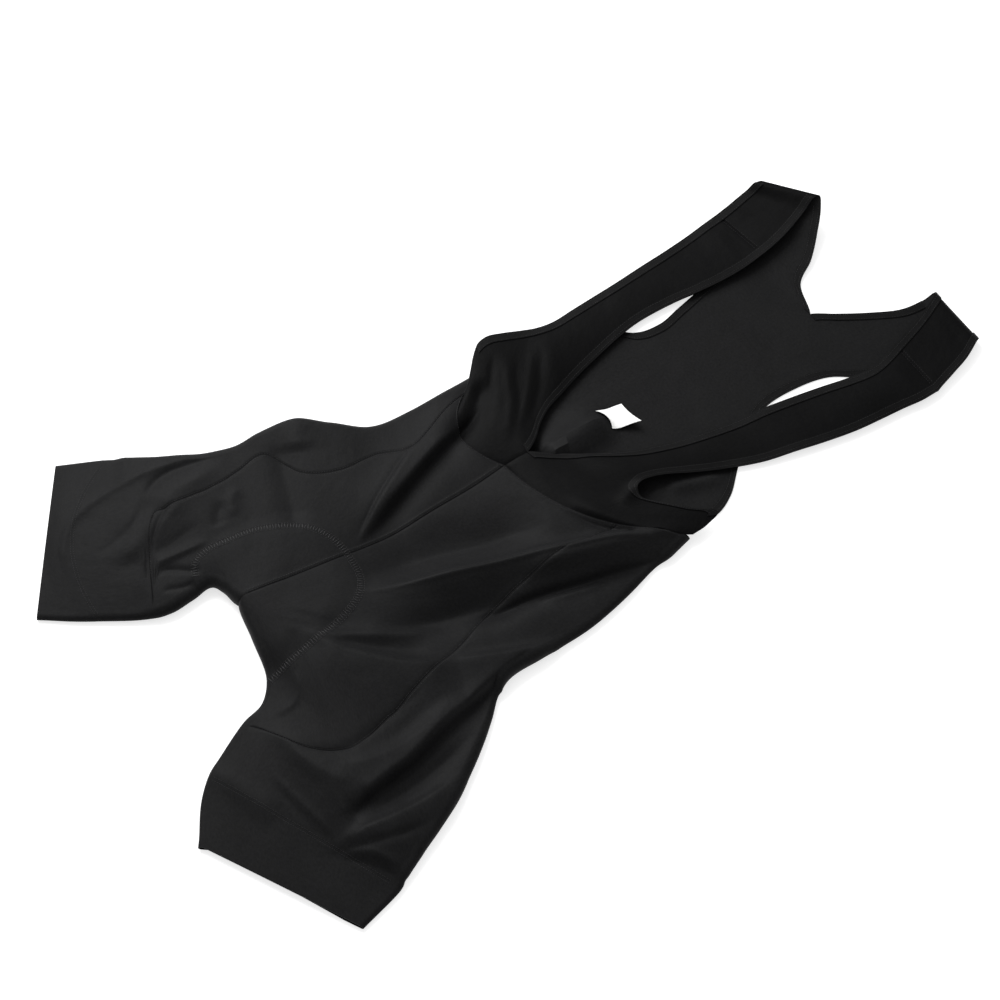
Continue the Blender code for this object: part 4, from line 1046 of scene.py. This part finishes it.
# ==================================================================== stitching
# Black polyester thread, shinier than the knit. Two rows of cover-stitch hold every turned hem, one row
# runs each side of the panel seams, and a wide ladder of flatlock holds the seat pad to the fronts.
HEM_ROWS = [2, 4]  # the hem's columns that are stitched
BESIDE_SEAM, BEYOND_RIDGE, ABOVE_CLOTH = 1.5, 4.4, 0.12
NEXT_TO_HEM = slice(7, -7)  # the bib's columns from one hem to the other, at a seam
PAD_SEAM = [(-45, -22), (-57, -16), (-63, 1), (-61, 23), (-58, 46), (-51, 65), (-43, 82), (-31, 97),
            (-15, 107), (0, 112), (17, 113), (34, 112), (48, 106), (58, 95), (66, 79), (73, 58),
            (78, 34), (82, 11), (86, -13)]
PAD_SEAM_WIDTH, PAD_SEAM_STEPS = 6.4, 240
UNEVEN_TURN, UNEVEN_LENGTH = 0.05, 0.08  # how far a stitch differs from the next, in radians and as a share


def face_of(sewing, grid, raise_by, dip=None):
    """Points and normals of a grid's cloth, moved out along the normals."""
    ids = sewing.ids[grid]
    raise_by = np.full(ids.shape, raise_by) if dip is None else raise_by - dip[ids]
    return sewing.points[ids] + sewing.normals[ids] * raise_by[..., None], sewing.normals[ids]


def turned(face):
    return tuple(values.swapaxes(0, 1) for values in face)


def beside(face, column, away, rows=slice(None)):
    """The line on a face that runs beside one of its columns, away millimetres from it."""
    points, normals = (values[rows] for values in face)
    across = distance_across(points)

    def found(values):
        return np.array([[np.interp(at[column] + away, at, row[:, k]) for k in range(3)]
                         for at, row in zip(across, values)])

    return [found(points), found(normals)]


def stitch_tree():
    """The node tree that puts a stitch at every pitch along its routes, and the identifiers of its inputs."""
    tree = bpy.data.node_groups.new("stitches", "GeometryNodeTree")
    tree.interface.new_socket("Stitches", in_out="OUTPUT", socket_type="NodeSocketGeometry")
    kinds = dict(Routes="Geometry", Pitch="Float", Length="Float", Thickness="Float", Turn="Float",
                 Zigzag="Float", Seed="Int", Thread="Material")
    sockets = {name: tree.interface.new_socket(name, in_out="INPUT", socket_type=f"NodeSocket{kind}")
               for name, kind in kinds.items()}
    entry = tree.nodes.new("NodeGroupInput")
    given = {name: Socket(tree, entry.outputs[name]) for name in kinds}
    make = given["Routes"].node
    curve = make("GeometryNodeMeshToCurve", Mesh=given["Routes"])
    points = make("GeometryNodeResampleCurve", settings=dict(mode="LENGTH"), Curve=curve,
                  Length=given["Pitch"])
    up = make("GeometryNodeInputNamedAttribute", settings=dict(data_type="FLOAT_VECTOR"), Name="up")
    tangent = make("GeometryNodeInputTangent")
    facing = make("FunctionNodeAlignRotationToVector", settings=dict(axis="X"), Vector=tangent)
    facing = make("FunctionNodeAlignRotationToVector", settings=dict(axis="Z", pivot_axis="X"),
                  Rotation=facing, Vector=up)
    index = make("GeometryNodeInputIndex")
    side = 2.0 * index.maths("MODULO", index, 2.0) - 1.0
    uneven = make("FunctionNodeRandomValue", 1, dict(data_type="FLOAT"), _2=-1.0, _3=1.0, _7=index,
                  _8=given["Seed"])
    angle = given["Turn"] + given["Zigzag"] * side + uneven * UNEVEN_TURN
    turn = make("FunctionNodeEulerToRotation", Euler=make("ShaderNodeCombineXYZ", Z=angle))
    facing = make("FunctionNodeRotateRotation", settings=dict(rotation_space="LOCAL"), _0=facing, _1=turn)
    half = given["Thickness"] / 2.0
    long = given["Length"] / 2.0 * (1.0 + uneven * UNEVEN_LENGTH)
    size = make("ShaderNodeCombineXYZ", X=long, Y=half, Z=half)
    stitch = make("GeometryNodeMeshUVSphere", Segments=6, Rings=4, Radius=1.0)
    copies = make("GeometryNodeInstanceOnPoints", Points=points, Instance=stitch, Rotation=facing, Scale=size)
    real = make("GeometryNodeSetShadeSmooth", _0=make("GeometryNodeRealizeInstances", Geometry=copies))
    sewn = make("GeometryNodeSetMaterial", Geometry=real, Material=given["Thread"])
    leave = tree.nodes.new("NodeGroupOutput")
    tree.links.new(sewn.output, leave.inputs["Stitches"])
    return tree, {name: socket.identifier for name, socket in sockets.items()}


def sew(name, thread, routes, seed, pitch, length, thickness, turn=0.0, zigzag=0.0):
    """One plain mesh of stitches along the routes, each a line of points with its normals, in millimetres."""
    points, ups, edges = [], [], []
    for line, normals in routes:
        edges += [(len(points) + k, len(points) + k + 1) for k in range(len(line) - 1)]
        points += ((np.asarray(line) + FRAME_SHIFT) * MM).tolist()
        ups += np.asarray(normals).tolist()
    mesh = bpy.data.meshes.new(name + "_routes")
    mesh.from_pydata(points, edges, [])
    mesh.attributes.new("up", "FLOAT_VECTOR", "POINT").data.foreach_set("vector", np.ravel(ups))
    holder = in_scene(name + "_routes", mesh)
    modifier = holder.modifiers.new("stitches", "NODES")
    modifier.node_group = STITCH_TREE
    values = dict(Pitch=pitch * MM, Length=length * MM, Thickness=thickness * MM, Turn=float(turn),
                  Zigzag=float(zigzag), Seed=seed, Thread=thread)
    for key, value in values.items():
        modifier[STITCH_INPUTS[key]] = value
    graph = bpy.context.evaluated_depsgraph_get()
    made = bpy.data.meshes.new_from_object(holder.evaluated_get(graph), depsgraph=graph)
    holder.modifiers.remove(modifier)
    bpy.data.objects.remove(holder)
    piece = in_scene(name, made)
    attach(piece, "root")


seam_thread, pad_thread = (
    principled(name, Base_Color=(tone, tone, tone * 1.03, 1.0), Roughness=0.45, Specular_IOR_Level=0.22)
    for name, tone in (("seam_thread", 0.017), ("pad_thread", 0.024)))
STITCH_TREE, STITCH_INPUTS = stitch_tree()

seam_routes, hem_routes = [], []  # each stops a little short of where it would meet another
for side, leg in legs.items():
    face = face_of(shorts_cloth, leg["top_grid"], CLOTH / 2 + ABOVE_CLOTH, dips)
    crotch, tip, band, seam = leg["crotch_row"], leg["tip_row"], leg["band_row"], leg["seam_column"]
    for away in (-BESIDE_SEAM, BESIDE_SEAM):
        seam_routes.append(beside(face, seam, away, slice(2, tip - 2)))
        seam_routes.append(beside(turned(face), band, away, slice(4, -2)))
    seam_routes.append(beside(turned(face), 0, BESIDE_SEAM, slice(2, -2)))
    if side == "right":
        seam_routes += [beside(face, 0, away, slice(2, crotch)) for away in (BESIDE_SEAM, BEYOND_RIDGE)]
ON_HEM = HEM_PLY + HEM_WALL / 2 + ABOVE_CLOTH
for half in bib.values():
    front_face = face_of(bib_cloth, half["front_grid"], CLOTH / 2 + ABOVE_CLOTH, bib_dips)
    back_face = face_of(bib_cloth, half["back_grid"], CLOTH / 2 + ABOVE_CLOTH)
    seam_routes += [beside(turned(face), -1, -BESIDE_SEAM, NEXT_TO_HEM) for face in (front_face, back_face)]
    outside = face_of(bib_cloth, half["front_grid"], ON_HEM)
    over_face = face_of(bib_cloth, half["back_grid"], ON_HEM)
    inside = face_of(bib_cloth, half["back_grid"], -ON_HEM)
    for edge in ("neck", "arm"):
        for column in HEM_ROWS if edge == "neck" else [-1 - c for c in HEM_ROWS]:
            hem_routes.append([values[half["front_rows"][edge] + 1 :, column] for values in outside])
            hem_routes.append([values[half["over"] :, column] for values in over_face])
            hem_routes.append([values[half["back_rows"][edge] + 1 : half["hem_end"], column] * sign
                               for values, sign in zip(inside, (1, -1))])
sew("seam_stitches", seam_thread, seam_routes, seed=1, pitch=2.6, length=2.1, thickness=0.34)
sew("hem_stitches", seam_thread, hem_routes, seed=2, pitch=2.6, length=2.1, thickness=0.36)

knit_trees = [BVHTree.FromObject(piece, graph) for piece in (*fronts.values(), *sides.values())]
route = smooth_route(PAD_SEAM, PAD_SEAM_STEPS)
ladder, left_edge, right_edge = ([], []), ([], []), ([], [])
for spot, run in zip(route, np.gradient(route, axis=0)):
    away = np.array([-run[1], run[0]]) / np.hypot(*run) * PAD_SEAM_WIDTH / 2
    for line, shift in ((ladder, 0.0), (left_edge, 1.0), (right_edge, -1.0)):
        x, y = spot + away * shift
        face = highest_face(knit_trees, x, y)
        if face:
            line[0].append((x, y, face[0] + ABOVE_CLOTH))
            line[1].append(face[1])
sew("pad_ladder_stitches", pad_thread, [ladder], seed=3, pitch=2.8, length=PAD_SEAM_WIDTH,
    thickness=0.8, turn=math.pi / 2, zigzag=0.16)
sew("pad_edge_stitches", seam_thread, [left_edge, right_edge], seed=4, pitch=2.8, length=2.3,
    thickness=0.6)
